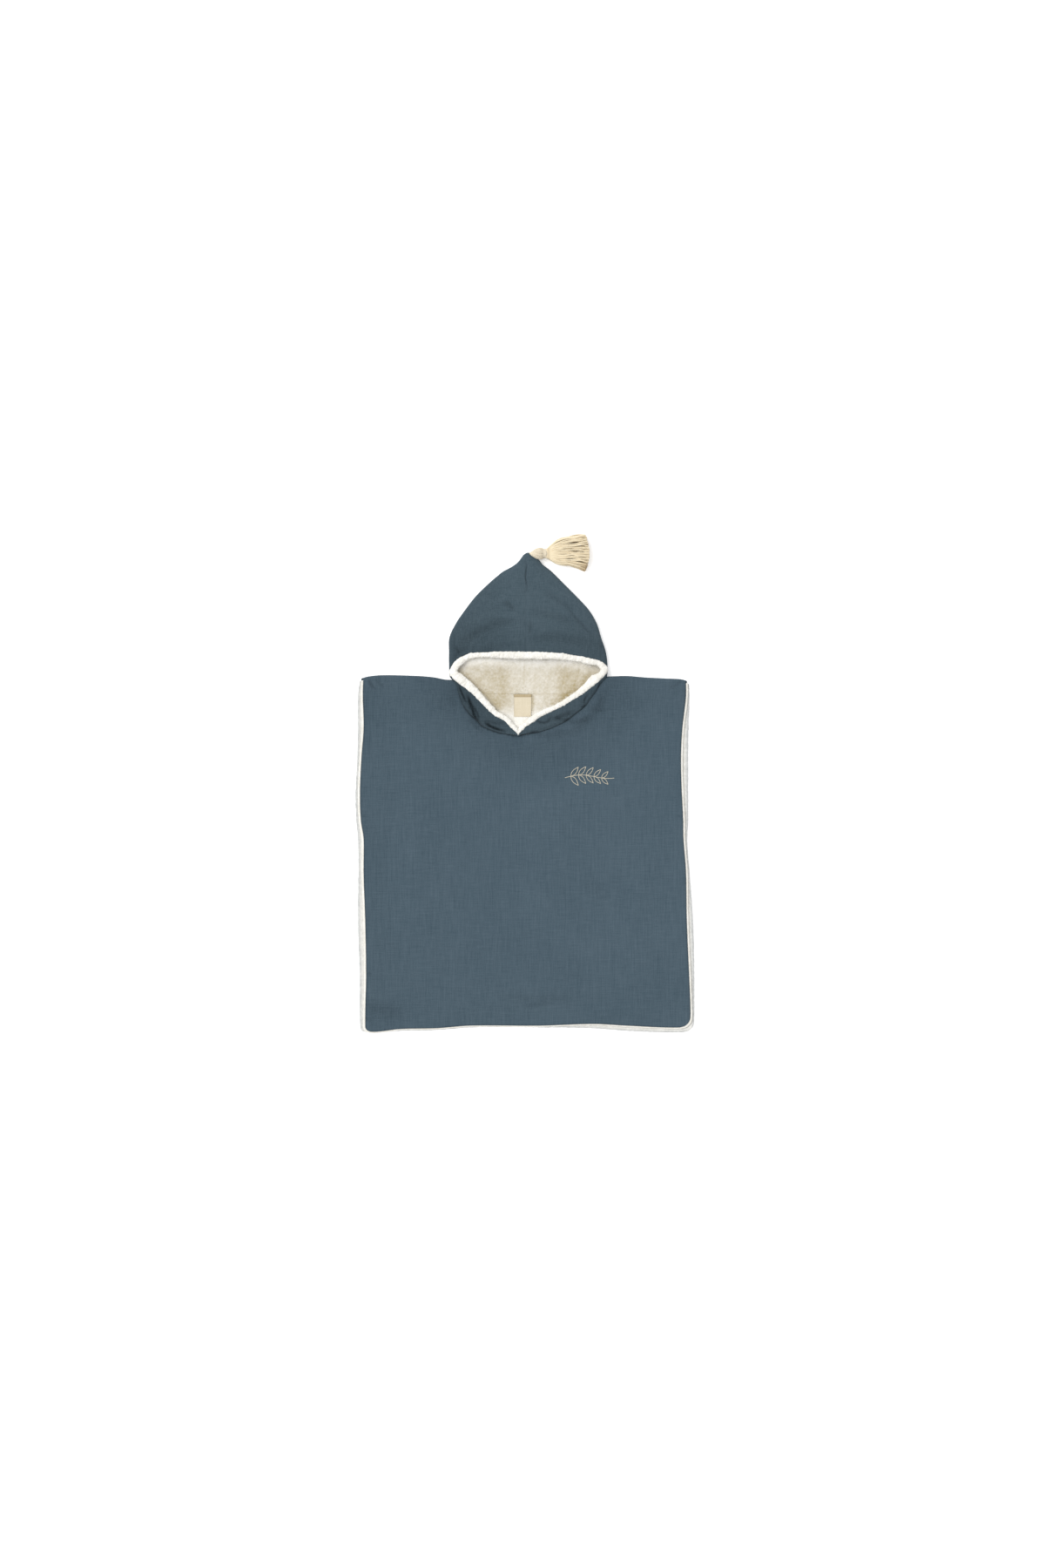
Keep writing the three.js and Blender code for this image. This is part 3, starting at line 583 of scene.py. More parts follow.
def roll_stations(count):
    """Points on a closed smooth curve through the stations, with half widths."""
    stations = np.array(ROLL, float)
    before, after = np.roll(stations, 1, axis=0), np.roll(stations, -1, axis=0)
    lengths = np.linalg.norm((after - stations)[:, :2], axis=1)
    knots = np.concatenate([[0], np.cumsum(lengths)])
    slopes = (after - before) / (lengths + np.roll(lengths, 1))[:, None]
    places = np.linspace(0, knots[-1], count, endpoint=False)
    i = np.clip(np.searchsorted(knots, places, side="right") - 1, 0, len(stations) - 1)
    j = (i + 1) % len(stations)
    span = lengths[i][:, None]
    t = ((places - knots[i]) / lengths[i])[:, None]
    return hermite(t, span, stations[i], slopes[i], stations[j], slopes[j])


def roll_solid(name, grow, steps, sides):
    """The oval roll, closed on itself."""
    line = roll_stations(steps)
    ahead = np.roll(line, -1, axis=0) - np.roll(line, 1, axis=0)
    ahead /= np.linalg.norm(ahead[:, :2], axis=1)[:, None]
    middle = hood_top(line[:, 0], line[:, 1]) - ROLL_SINK
    angle = 2 * np.pi * np.arange(sides) / sides

    def fuller(value):
        """A sine or cosine that makes an oval a little squarer."""
        return np.sign(value) * np.abs(value) ** ROLL_FULLNESS

    out = (line[:, 2] + grow)[:, None] * fuller(np.cos(angle))
    x = line[:, 0:1] + out * ahead[:, 1:2]
    y = line[:, 1:2] - out * ahead[:, 0:1]
    z = middle[:, None] + (ROLL_HALF_HEIGHT + grow) * fuller(np.sin(angle))
    ring = np.arange(sides)
    faces = []
    for s in range(steps):
        here, there = s * sides, (s + 1) % steps * sides
        faces += [(here + k, here + (k + 1) % sides, there + (k + 1) % sides, there + k) for k in ring]
    item = add_object(name, np.stack([x, y, z], axis=-1).reshape(-1, 3), faces)
    face_out(item)
    return item


# %% [markdown]
# Cutting the hood out
#
# The pocket gives two shells, gauze outside and towelling inside. The face opening and the part
# of the underlayer below the back neck seam are cut away, the roll is joined to the towelling,
# and a cut down the centre seam parts the two halves that a maker would have sewn.

# %% Hood shells
CENTRE_FRONT = -14
FAR = 400
MOUTH_HIGH = 60
HALF_LOW, HALF_HIGH = -10, 80
# The line where the hood is sewn to the back, closed by a box over the front of the neck
NECK_LINE = [
    (-160, 2), (-137, 0), (-122, -14), (-102, -25), (-82, -BACK_NECK_DROP),
    (66, -BACK_NECK_DROP), (92, -25), (118, -14), (146, 0), (160, 2), (160, -140), (-160, -140),
]

hood_space = hood_solid("hood_space", -SEAM_GAP)
mouth = block("mouth", roll_stations(MOUTH_STEPS)[:, :2], LAYERS_MIDDLE, MOUTH_HIGH)
neck_cut = block("neck_cut", NECK_LINE, -5, LAYERS_MIDDLE)
roll_space = roll_solid("roll_space", SEAM_GAP, SPACE_STEPS, SPACE_SIDES)
roll = roll_solid("roll", 0, ROLL_STEPS, ROLL_SIDES)

outer_inside = hood_solid("outer_inside", GAUZE)
hood_cloth = combine(
    hood_solid("hood_cloth", 0), "DIFFERENCE", outer_inside, mouth, roll_space, neck_cut)
towel_inside = hood_solid("towel_inside", GAUZE + SEAM_GAP + TERRY)
hood_towel = combine(
    hood_solid("hood_towel", GAUZE + SEAM_GAP), "DIFFERENCE", towel_inside, mouth, neck_cut)
combine(hood_towel, "UNION", roll)
print("hood:", len(hood_cloth.data.polygons), "faces outside,", len(hood_towel.data.polygons), "inside")


# %% Hood halves
def half_block(name, hand):
    """Space of one half of the hood; the two arms of the roll meet left of the centre seam."""
    far = hand * FAR
    line = [(far, FAR), (0, FAR), (0, -42), (CENTRE_FRONT, -60)]
    line += [(CENTRE_FRONT, -FAR / 2), (far, -FAR / 2)]
    return block(name, line, HALF_LOW, HALF_HIGH)


halves = {}
for hand, word in ((-1, "left"), (1, "right")):
    side = half_block("side", hand)
    for source, kind in ((hood_cloth, "cloth"), (hood_towel, "towel")):
        name = f"hood_{word}_{kind}"
        halves[name] = combine(twin(source, name), "INTERSECT", side)
        print(name, len(halves[name].data.polygons), "faces")
    drop(side)

# %% [markdown]
# Flat panels
#
# A panel is a stack of sections across the body from the hem to the shoulders. The outer cloths
# roll down and up into the shoulder seam, and the linings stop inside that roll. The neck is
# cut from each panel with the space that the hood takes up.

# %% Edges of a panel
EDGE_ZONE = 14
EDGE_STEP = 1.6
ROUND_END = 3
DEEPEST = 1.1
THINNEST = 0.25
ACROSS = 600
TURN_DEGREES = range(10, 86, 10)


def corner_inset(from_hem, radius):
    """How far an edge is drawn in by a round corner."""
    d = np.clip(radius - np.maximum(from_hem, 0), 0, radius)
    return radius - np.sqrt(radius ** 2 - d ** 2)


def spaced(low, high, step):
    """Places from low to high, close together near both ends."""
    edge = np.arange(0, EDGE_ZONE, EDGE_STEP)
    middle = np.linspace(low + EDGE_ZONE, high - EDGE_ZONE, max(int((high - low) / step), 2))
    return np.concatenate([low + edge, middle, (high - edge)[::-1]])


# %% A panel
def panel(name, side, inset, under, thickness, step, turn=0, folds=()):
    """A layer of cloth from the hem to the shoulders.

    Turn is 1 or -1 for a layer that rolls down or up into the shoulder seam, and 0 for a lining
    that ends before it.
    """
    middle = under + thickness / 2
    shares = spaced(0, ACROSS, step) / ACROSS
    downs = spaced(SHOULDER_ROLL, BODY_LENGTH, step)[::-1]

    def edge(down, hand):
        """Where the layer ends at one side."""
        outermost = read_table(SIDES, "down", down, side + hand)
        drawn_in = inset + corner_inset(BODY_LENGTH - down, CORNER[hand])
        return outermost - np.sign(outermost) * drawn_in

    def section(down, offset, level, tilt):
        """A ring round the layer across the body, moved and tilted where it turns over."""
        right, left = edge(down, "Right"), edge(down, "Left")
        share = down / BODY_LENGTH
        from_hem = BODY_LENGTH - down
        blunt = 1 - min(from_hem / (0.5 * thickness), 1)
        half = thickness / 2 * max(math.sqrt(1 - blunt ** 2), THINNEST)

        def place(x, outward):
            """Points of one face, of the middle or of a rounded end, by their outward share."""
            hem = read_table(HEM, "across", x, side) - inset
            seam = read_table(SHOULDERS, "across", x, "drop")
            y = -(seam + (hem - seam) * share) + offset
            height, _ = crease_field(folds, x, y)
            rise = np.maximum(height, -DEEPEST) * math.cos(tilt)
            stride = outward * half
            y = y + stride * math.sin(tilt)
            return np.stack([x, y, level + rise + stride * math.cos(tilt)], axis=-1)

        xs = right + (left - right) * shares
        round_angles = np.radians(np.linspace(90, -90, 2 * ROUND_END + 3)[1:-1])
        right_end = place(right + half * np.cos(round_angles), np.sin(round_angles))
        left_end = place(left - half * np.cos(round_angles), np.sin(round_angles))
        return np.concatenate([
            right_end[ROUND_END:ROUND_END + 1], right_end[:ROUND_END][::-1],
            place(xs, np.ones_like(xs)), left_end[:ROUND_END], left_end[ROUND_END:ROUND_END + 1],
            left_end[ROUND_END + 1:], place(xs[::-1], -np.ones_like(xs)),
            right_end[ROUND_END + 1:][::-1],
        ])

    sections = [section(down, 0, middle, 0) for down in downs]
    if turn:
        radius = abs(middle - LAYERS_MIDDLE)
        for degrees in TURN_DEGREES:
            angle = math.radians(degrees)
            forward = SHOULDER_ROLL - radius + radius * math.sin(angle)
            level = LAYERS_MIDDLE + turn * radius * math.cos(angle)
            sections.append(section(SHOULDER_ROLL, forward, level, turn * angle))
    return loft(name, sections)


# %% Panels
back_neck_space = combine(twin(hood_space, "back_neck_space"), "DIFFERENCE", neck_cut)

back_cloth = panel("back_cloth", "back", LINING_PROUD, BACK_CLOTH_Z, GAUZE, step=9, turn=-1)
back_towel = panel("back_towel", "back", 0, BACK_TOWEL_Z, TERRY, step=5)
front_towel = panel("front_towel", "front", -LINING_PROUD, FRONT_TOWEL_Z, TERRY, step=7)
front_cloth = panel(
    "front_cloth", "front", 0, FRONT_CLOTH_Z, GAUZE, step=3.6, turn=1, folds=FRONT_CREASES)
for piece, space in ((back_cloth, back_neck_space), (back_towel, back_neck_space),
                     (front_towel, hood_space), (front_cloth, hood_space)):
    combine(piece, "DIFFERENCE", space)
    print(piece.name, len(piece.data.polygons), "faces")

drop(hood_space, back_neck_space, mouth, neck_cut, roll_space, roll)
drop(outer_inside, towel_inside, hood_cloth, hood_towel)

# %% [markdown]
# Soft places
#
# Cloth that is sewn and laid down moves a little from its cut shape. The two arms of the roll
# are pinched together and drawn to a point below the label. The back lining rises to fill the V
# behind them, and the hood's lower lining rises towards the brow, so that no dark gap shows.

# %% Moves of the cloth
ARMS_MEET = CENTRE_FRONT
PINCH, PINCH_WIDTH = 0.5, 15
POINT_DRAWN, POINT_WIDTH = 2.2, 4.5
V_LIFT = 5
BROW_LIFT = 6.5
LOWER_LAYER_TOP = 6


def inside_sides(x, y, start, full):
    """How far places are from the hood's side folds, as a share that grows from start to full."""
    left, right, _, _ = hood_row(y)
    return ramp(x - left, start, full) * ramp(right - x, start, full)


for name, item in halves.items():
    x, y, z = layout_points(item).T
    beside = x - ARMS_MEET
    pinch = PINCH * ramp(-y, 84, 101) * bell(beside, PINCH_WIDTH)
    drawn = POINT_DRAWN * ramp(-y, 88, 100) * bell(beside, POINT_WIDTH)
    under_brow = ramp(y, 0, 32) * ramp(-y, -95, -60) * inside_sides(x, y, 16, 42)
    lift = BROW_LIFT * under_brow * (z < LOWER_LAYER_TOP) * name.endswith("towel")
    upper = z > LOWER_LAYER_TOP
    place_points(item, np.stack([x - pinch * beside, y - drawn * upper, z + lift], -1))

points = layout_points(back_towel)
x, y, z = points.T
in_point = ramp(-y, 70, 88) * ramp(y, -103, -95) * bell(x - ARMS_MEET, PINCH_WIDTH)
points[:, 2] += V_LIFT * in_point * (z > BACK_TOWEL_Z + TERRY / 2)
place_points(back_towel, points)

# %% [markdown]
# Pile
#
# Towelling is not smooth: its loops make a soft, lumpy surface a millimetre or so deep. A
# Displace modifier moves the points along their normals by a procedural noise, and the finer
# loops are left to the material. Pile is raised only where it shows, so that it doesn't grow
# through the cloth that covers it, and never on a sewn edge.

# %% How pile is raised
def pile(item, size, depth, group):
    """Raises an uneven pile on a group of points, with lumps of a size and depth in millimetres."""
    texture = bpy.data.textures.new(item.name + "_pile", "CLOUDS")
    texture.noise_scale = size * 0.001
    texture.noise_depth = 1
    modifier = item.modifiers.new("pile", "DISPLACE")
    modifier.texture = texture
    modifier.texture_coords = "LOCAL"
    modifier.strength = depth * 0.001
    modifier.mid_level = 0.5
    modifier.vertex_group = group
    pick(item)
    bpy.ops.object.modifier_apply(modifier=modifier.name)


def point_group(item, name, chosen):
    """Names the chosen points of a piece."""
    item.vertex_groups.new(name=name).add(np.nonzero(chosen)[0].tolist(), 1.0, "REPLACE")


def roll_distance(x, y):
    """Distance outside the roll's inner and outer edges, in millimetres."""
    gaps = np.full(x.shape, 1e9)
    for px, py, half in roll_stations(160):
        gaps = np.minimum(gaps, np.hypot(x - px, y - py) - half)
    return gaps


def edge_distance(x, y, side):
    """Distance inside the outer edge of a body panel, at the open sides and at the hem."""
    down = np.clip(-y, 0, BODY_LENGTH)
    right = read_table(SIDES, "down", down, side + "Right") - x
    left = x - read_table(SIDES, "down", down, side + "Left")
    hem = read_table(HEM, "across", x, side) + y
    return np.maximum(np.minimum(np.minimum(left, right), hem), 0)


# %% Pile on the towelling
# Size and depth of the lumps; the roll has all four, one on top of the other
MOUTH_PILE = (5.0, 1.2)
ROLL_PILE = ((9.0, 2.0), (3.4, 2.0), (1.8, 1.6))
BODY_PILE = (3.6, 1.3)
SEWN_NEAR = 0.3
ROLL_NEAR = 0.8
EDGE_SHOWN = {"back": 26, "front": 3}
ARMS_PARTED = -50
MOUTH_UP, MOUTH_IN = 60, 12
NECK_HALF, NECK_DOWN = 90, 100

for name, item in halves.items():
    if name.endswith("towel"):
        x, y, z = layout_points(item).T
        left, right, _, _ = hood_row(y)
        loose = np.where(y > ARMS_PARTED, np.abs(x), np.abs(x - ARMS_MEET)) >= SEWN_NEAR
        on_roll = loose & (roll_distance(x, y) < ROLL_NEAR)
        in_mouth = loose & (y < MOUTH_UP) & (x > left + MOUTH_IN) & (x < right - MOUTH_IN)
        point_group(item, "open", on_roll | in_mouth)
        point_group(item, "roll", on_roll)
        pile(item, *MOUTH_PILE, "open")
        for lumps in ROLL_PILE:
            pile(item, *lumps, "roll")

for item, side in ((back_towel, "back"), (front_towel, "front")):
    x, y, z = layout_points(item).T
    shown = edge_distance(x, y, side) < EDGE_SHOWN[side]
    if side == "back":
        shown |= (roll_distance(x, y) < 0) | ((np.abs(x) < NECK_HALF) & (y > -NECK_DOWN))
    point_group(item, "shown", shown)
    pile(item, *BODY_PILE, "shown")

# %% [markdown]
# Painted shade: where the cloth is darker
#
# Light reaches the bottom of a deep fold only from one side, and the inside of the hood only
# through the face opening. The gauze of the hood also looks a little darker than the body. This
# shade is painted into the colour: a number between 0 and 1 at each point of the mesh says how
# much, and the materials read it.

# %% Shade of the gauze
def set_shade(item, values):
    """Stores one shade number at each point."""
    layer = item.data.attributes.new("shade", "FLOAT", "POINT")
    layer.data.foreach_set("value", np.clip(values, 0, 1).astype(np.float32))


def hood_cloth_shade(x, y, z):
    """Darker creases, the band round the neck, the sides and a little of the crown."""
    _, dark = crease_field(HOOD_CREASES, x, y)
    band = ramp(-y, -6, 26) * 0.22
    sides = 0.1 * ramp(np.abs(x), 70, 135) + 0.13 * ramp(-x, 20, 70)
    return dark * 0.85 + band + sides + 0.16 * ramp(y, 120, 40) * ramp(y, -10, 10)


def neck_gap(x, y):
    """Distance outside the hood's outline, in millimetres, below the shoulder line."""
    left, right, _, _ = hood_row(np.clip(y, HOOD["up"][0], 60))
    outside = np.maximum(left - x, x - right)
    return np.maximum(outside, HOOD["up"][0] - y)


def body_cloth_shade(x, y, z):
    """Darker creases, a shadow under the hood's band, and edges that turn down."""
    _, dark = crease_field(FRONT_CREASES, x, y)
    neck = np.hypot((x - 4) / 1.25, y + 20)
    seam_shadow = bell(np.maximum(neck_gap(x, y), 0), 3.2)
    seam_shadow *= 0.06 + 0.5 * ramp(-x, -44, -10) * ramp(x, -128, -100)
    near = 0.14 * (1 - ramp(neck, 95, 190)) + 0.08 * ramp(y, -120, -20)
    left = 0.06 * ramp(-x, 200, 290)
    hem = 0.04 * ramp(-y, 420, 600)
    turned_edge = 0.34 * bell(edge_distance(x, y, "front"), 1.7)
    return dark * 0.8 + near + left + hem + seam_shadow + turned_edge * ramp(-y, 4, 12)


# %% Shade of the towelling
def inside_shade(x, y, z):
    """Darkness of the towelling that shows through the face opening."""
    inner = roll_distance(x, y)
    arm_side = ramp(-y, -34, 5)
    # Painted shade for the hood's depth and its two darker corners, taken off under the brow,
    # where the roll casts its own shadow, and added beside the arms of the roll
    left = 0.2 * bell(x + 42, 20) + 0.12 * ramp(-x, 20, 70)
    right = 0.26 * bell(x - 68, 18) + 0.12 * ramp(x, 50, 90)
    base = 0.42 + left + right
    near_arm = bell(inner, 11) * arm_side
    near_brow = bell(inner, 16) * (1 - arm_side)
    base = base * (1 - near_brow) + near_arm * (0.2 * ramp(-x, 25, 70) + 0.26 * ramp(x, 15, 60))
    bright_front = ramp(-y, 48, 76)
    # Thin dark lines: the neck seam, the centre seam, a tuck at the right and the label's painted
    # shadow
    seam = 0.1 * bell(y + BACK_NECK_DROP, 1.5) * (np.abs(x + 4) < 62)
    middle = 0.14 * bell(x + 3.4, 1.3) * ramp(y, -20, -10)
    tuck = 0.16 * bell(x - 91 - 0.3 * y, 1.8) * ramp(y, -24, -12) * ramp(-y, -22, -8)
    label_shadow = 0.5 * bell(x - LABEL_ACROSS - 16, 3.2) * ramp(-y, 30, 36) * ramp(y, -74, -62)
    shade = (base + seam + middle + tuck + label_shadow) * (1 - bright_front)
    return shade * ramp(inner, -1.5, 1.2) * (z < 12)


def edge_shade(x, y, side):
    """Darkness of a body lining towards its outer edges, where the pile turns down."""
    return 0.42 * bell(edge_distance(x, y, side), 3.0)


def back_towel_shade(x, y, z):
    """The neck is seen through the face opening, and the rest only at the edges."""
    in_neck = (np.abs(x) < 130) & (y > -110)
    return np.where(in_neck, inside_shade(x, y, z), edge_shade(x, y, "back"))


def front_towel_shade(x, y, z):
    """Only a trace of the same at the edge that shows past the front gauze."""
    return 0.15 * edge_shade(x, y, "front")


shading = [(item, inside_shade if name.endswith("towel") else hood_cloth_shade)
           for name, item in halves.items()]
shading += [(front_cloth, body_cloth_shade), (back_towel, back_towel_shade),
            (front_towel, front_towel_shade), (back_cloth, lambda x, y, z: np.zeros(x.shape))]
for item, shade in shading:
    set_shade(item, shade(*layout_points(item).T))
    print("shaded", item.name)

# %% [markdown]
# Shader groups
#
# Three effects are shared by several finishes, so each is a node group: the weave of the gauze,
# whose threads are uneven in thickness, the loops of the towelling, and the twist of a yarn.
# They give only a height and a tint mask, and each material decides what to do with them.

# %% Group helpers
def new_group(name):
    """A shader node group that takes coordinates and gives a height and a tint."""
    group = bpy.data.node_groups.new(name, "ShaderNodeTree")
    group.interface.new_socket("Coordinates", in_out="INPUT", socket_type="NodeSocketVector")
    for label in ("Height", "Tint"):
        group.interface.new_socket(label, in_out="OUTPUT", socket_type="NodeSocketFloat")
    return group, group.nodes.new("NodeGroupInput"), group.nodes.new("NodeGroupOutput")


def maths(tree, operation, *values):
    """A Math node fed by sockets or numbers."""
    node = tree.nodes.new("ShaderNodeMath")
    node.operation = operation
    for slot, value in enumerate(values):
        if isinstance(value, (int, float)):
            node.inputs[slot].default_value = value
        else:
            tree.links.new(value, node.inputs[slot])
    return node.outputs[0]


def noise(tree, coordinates, scale, detail=2.0, stretch=(1, 1, 1)):
    """A Noise texture on coordinates that are stretched first."""
    mapping = tree.nodes.new("ShaderNodeMapping")
    mapping.inputs["Scale"].default_value = stretch
    tree.links.new(coordinates, mapping.inputs["Vector"])
    node = tree.nodes.new("ShaderNodeTexNoise")
    node.inputs["Scale"].default_value = scale
    node.inputs["Detail"].default_value = detail
    tree.links.new(mapping.outputs["Vector"], node.inputs["Vector"])
    return node.outputs["Fac"]


# %% Weave, loops and twist
def weave_group():
    """Slubby plain weave with the faint gathers of double gauze."""
    group, start, end = new_group("uneven_weave")
    at = start.outputs["Coordinates"]
    warp = noise(group, at, 1100, 1, (1, 0.04, 1))
    weft = noise(group, at, 1000, 1, (0.04, 1, 1))
    slubs = maths(group, "MULTIPLY_ADD", noise(group, at, 700, 2, (1, 0.025, 1)), 1.1,
                  maths(group, "MULTIPLY", noise(group, at, 620, 2, (0.03, 1, 1)), 0.4))
    gathers = noise(group, at, 120, 3)
    threads = maths(group, "ADD", warp, weft)
    uneven = maths(group, "MULTIPLY_ADD", slubs, 0.2, maths(group, "MULTIPLY", gathers, 0.8))
    height = maths(group, "MULTIPLY_ADD", threads, 0.4, uneven)
    group.links.new(height, end.inputs["Height"])
    cloudy = noise(group, at, 9, 3)
    grain = maths(group, "MULTIPLY_ADD", noise(group, at, 430, 3), 0.14,
                  maths(group, "MULTIPLY", cloudy, 0.12))
    tint = maths(group, "MULTIPLY_ADD", maths(group, "ADD", threads, slubs), 0.2, grain)
    group.links.new(tint, end.inputs["Tint"])
    return group


def loops_group():
    """Small loops of pile in clumps."""
    group, start, end = new_group("towel_loops")
    at = start.outputs["Coordinates"]
    cells = group.nodes.new("ShaderNodeTexVoronoi")
    cells.inputs["Scale"].default_value = 700
    group.links.new(at, cells.inputs["Vector"])
    clumps = noise(group, at, 240, 3)
    patches = noise(group, at, 95, 3)
    tops = maths(group, "SUBTRACT", 1.0, cells.outputs["Distance"])
    height = maths(group, "MULTIPLY_ADD", tops, 0.55, clumps)
    group.links.new(height, end.inputs["Height"])
    tint = maths(group, "MULTIPLY_ADD", clumps, 0.5, maths(group, "MULTIPLY", patches, 0.5))
    group.links.new(tint, end.inputs["Tint"])
    return group


def twist_group():
    """Two plies turned round each other; U counts turns along a yarn and V goes round it."""
    group, start, end = new_group("yarn_twist")
    at = start.outputs["Coordinates"]
    parts = group.nodes.new("ShaderNodeSeparateXYZ")
    group.links.new(at, parts.inputs["Vector"])
    turned = maths(group, "ADD", parts.outputs["X"], parts.outputs["Y"])
    wave = maths(group, "SINE", maths(group, "MULTIPLY", turned, 4 * math.pi))
    rounded = maths(group, "ABSOLUTE", wave)
    fibres = noise(group, at, 6, 3, (1, 7, 1))
    group.links.new(maths(group, "MULTIPLY_ADD", fibres, 0.25, rounded), end.inputs["Height"])
    tint = maths(group, "MULTIPLY_ADD", rounded, 0.65, maths(group, "MULTIPLY", fibres, 0.35))
    group.links.new(tint, end.inputs["Tint"])
    return group


WEAVE = weave_group()
LOOPS = loops_group()
TWIST = twist_group()

# %% [markdown]
# Finishes
#
# Colours are mixed in linear light between a darker and a lighter thread, and then towards the
# colour that the cloth has in its own shade. Each material owns its Principled shader, so its
# sheen and roughness are set on its own sockets. The lamps are brighter than white paper needs,
# which keeps the floor white, so all colours are given darker by the same share.

# %% Colours
LIGHT_LEVEL = 1.2


def linear(hex_code):
    """An sRGB colour as linear values, for cloth under the lamps of this studio."""
    parts = [int(hex_code[i:i + 2], 16) / 255 for i in (0, 2, 4)]
    true = [p / 12.92 if p <= 0.04045 else ((p + 0.055) / 1.055) ** 2.4 for p in parts]
    return [p / LIGHT_LEVEL for p in true] + [1.0]


def mix_colours(tree, share, first, second):
    """A colour between two others; each is a socket or a value."""
    node = tree.nodes.new("ShaderNodeMix")
    node.data_type = "RGBA"
    tree.links.new(share, node.inputs[0])
    for socket, colour in ((node.inputs[6], first), (node.inputs[7], second)):
        if isinstance(colour, list):
            socket.default_value = colour
        else:
            tree.links.new(colour, socket)
    return node.outputs[2]


# %% How every cloth is coloured
def cloth_material(name, colours, group, tint_range, bump, sheen, roughness, source="Object"):
    """A cloth with dark and light threads, a shade colour and the relief of a group."""
    dark, light, shaded = (linear(c) for c in colours)
    material = bpy.data.materials.new(name)
    material.use_nodes = True
    tree = material.node_tree
    shader = tree.nodes["Principled BSDF"]
    place = tree.nodes.new("ShaderNodeTexCoord")
    effect = tree.nodes.new("ShaderNodeGroup")
    effect.node_tree = group
    tree.links.new(place.outputs[source], effect.inputs["Coordinates"])
    spread = tree.nodes.new("ShaderNodeMapRange")
    spread.inputs["From Min"].default_value = tint_range[0]
    spread.inputs["From Max"].default_value = tint_range[1]
    tree.links.new(effect.outputs["Tint"], spread.inputs["Value"])
    threads = mix_colours(tree, spread.outputs["Result"], dark, light)
    shade = tree.nodes.new("ShaderNodeAttribute")
    shade.attribute_name = "shade"
    uneven = maths(tree, "MULTIPLY_ADD", spread.outputs["Result"], -0.45, 1.22)
    depth = maths(tree, "MULTIPLY", shade.outputs["Fac"], uneven)
    tree.links.new(mix_colours(tree, depth, threads, shaded), shader.inputs["Base Color"])
    relief = tree.nodes.new("ShaderNodeBump")
    relief.inputs["Strength"].default_value = bump[0]
    relief.inputs["Distance"].default_value = bump[1] * 0.001
    tree.links.new(effect.outputs["Height"], relief.inputs["Height"])
    tree.links.new(relief.outputs["Normal"], shader.inputs["Normal"])
    shader.inputs["Roughness"].default_value = roughness
    shader.inputs["Specular IOR Level"].default_value = 0.12
    shader.inputs["Sheen Weight"].default_value = sheen
    shader.inputs["Sheen Roughness"].default_value = 0.6
    return material


# %% Finishes of gauze and towelling
# Group, range of the tint, strength and depth of the relief, sheen and roughness
WOVEN = (WEAVE, (0.36, 0.58), (0.45, 0.5), 0.03, 0.95)
LOOPED = (LOOPS, (0.3, 0.64), (0.6, 1.1), 0.08, 1.0)
GAUZE_BODY = cloth_material("blue_gauze", ("3f505b", "51616c", "131c22"), *WOVEN)
# The hood's gauze is a darker copy of the body's gauze: painted shade over the whole hood
GAUZE_HOOD_SHADED = cloth_material("blue_gauze_hood", ("3c4c55", "4e5d66", "121b20"), *WOVEN)
TOWEL = cloth_material("cream_towelling", ("ebe8de", "fcfaf5", "a8976c"), *LOOPED)
# A greyer, darker copy of the towelling: painted shade on the back lining's outer edges
TOWEL_SHADED_EDGE = cloth_material("cream_towelling_shaded_edge", ("d9d8d2", "eeede8", "9298a0"), *LOOPED)


# %% The cloths get their finish
SMOOTH_DEGREES = 42
# Where the back lining takes the greyer copy of its towelling, painted shade for its edges, in metres
EDGE_ACROSS, EDGE_DOWN = 0.16, -0.1


def dress(item, material, nodes=()):
    """Gives a finished piece its material, smooth shading and its body, and hides the solid nodes that
    it stands for.
    """
    item.data.materials.clear()
    item.data.materials.append(material)
    pick(item)
    bpy.ops.object.shade_smooth_by_angle(angle=math.radians(SMOOTH_DEGREES))
    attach(item, "root")
    if nodes:
        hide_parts(*nodes)


for name, item in halves.items():
    if name.endswith("towel"):
        dress(item, TOWEL, [name.replace("towel", "lining")])
    else:
        dress(item, GAUZE_HOOD_SHADED, [name.replace("cloth", "outer")])
dress(back_cloth, GAUZE_BODY, ["back_outer"])
dress(back_towel, TOWEL, ["back_lining"])
back_towel.data.materials.append(TOWEL_SHADED_EDGE)
for face in back_towel.data.polygons:
    far_out = abs(face.center.x - SHIFT_X * 0.001) > EDGE_ACROSS
    face.material_index = int(far_out or face.center.y < EDGE_DOWN)
dress(front_towel, TOWEL, ["front_lining"])
dress(front_cloth, GAUZE_BODY, ["front_outer"])

# %% [markdown]
# Yarn and thread
#
# A thread is a tube along a path, and many threads make one mesh. Each corner of a face also
# gets a UV place, with U in turns of the twist along the thread and V once round it, so that
# the twist of the material follows every bend.

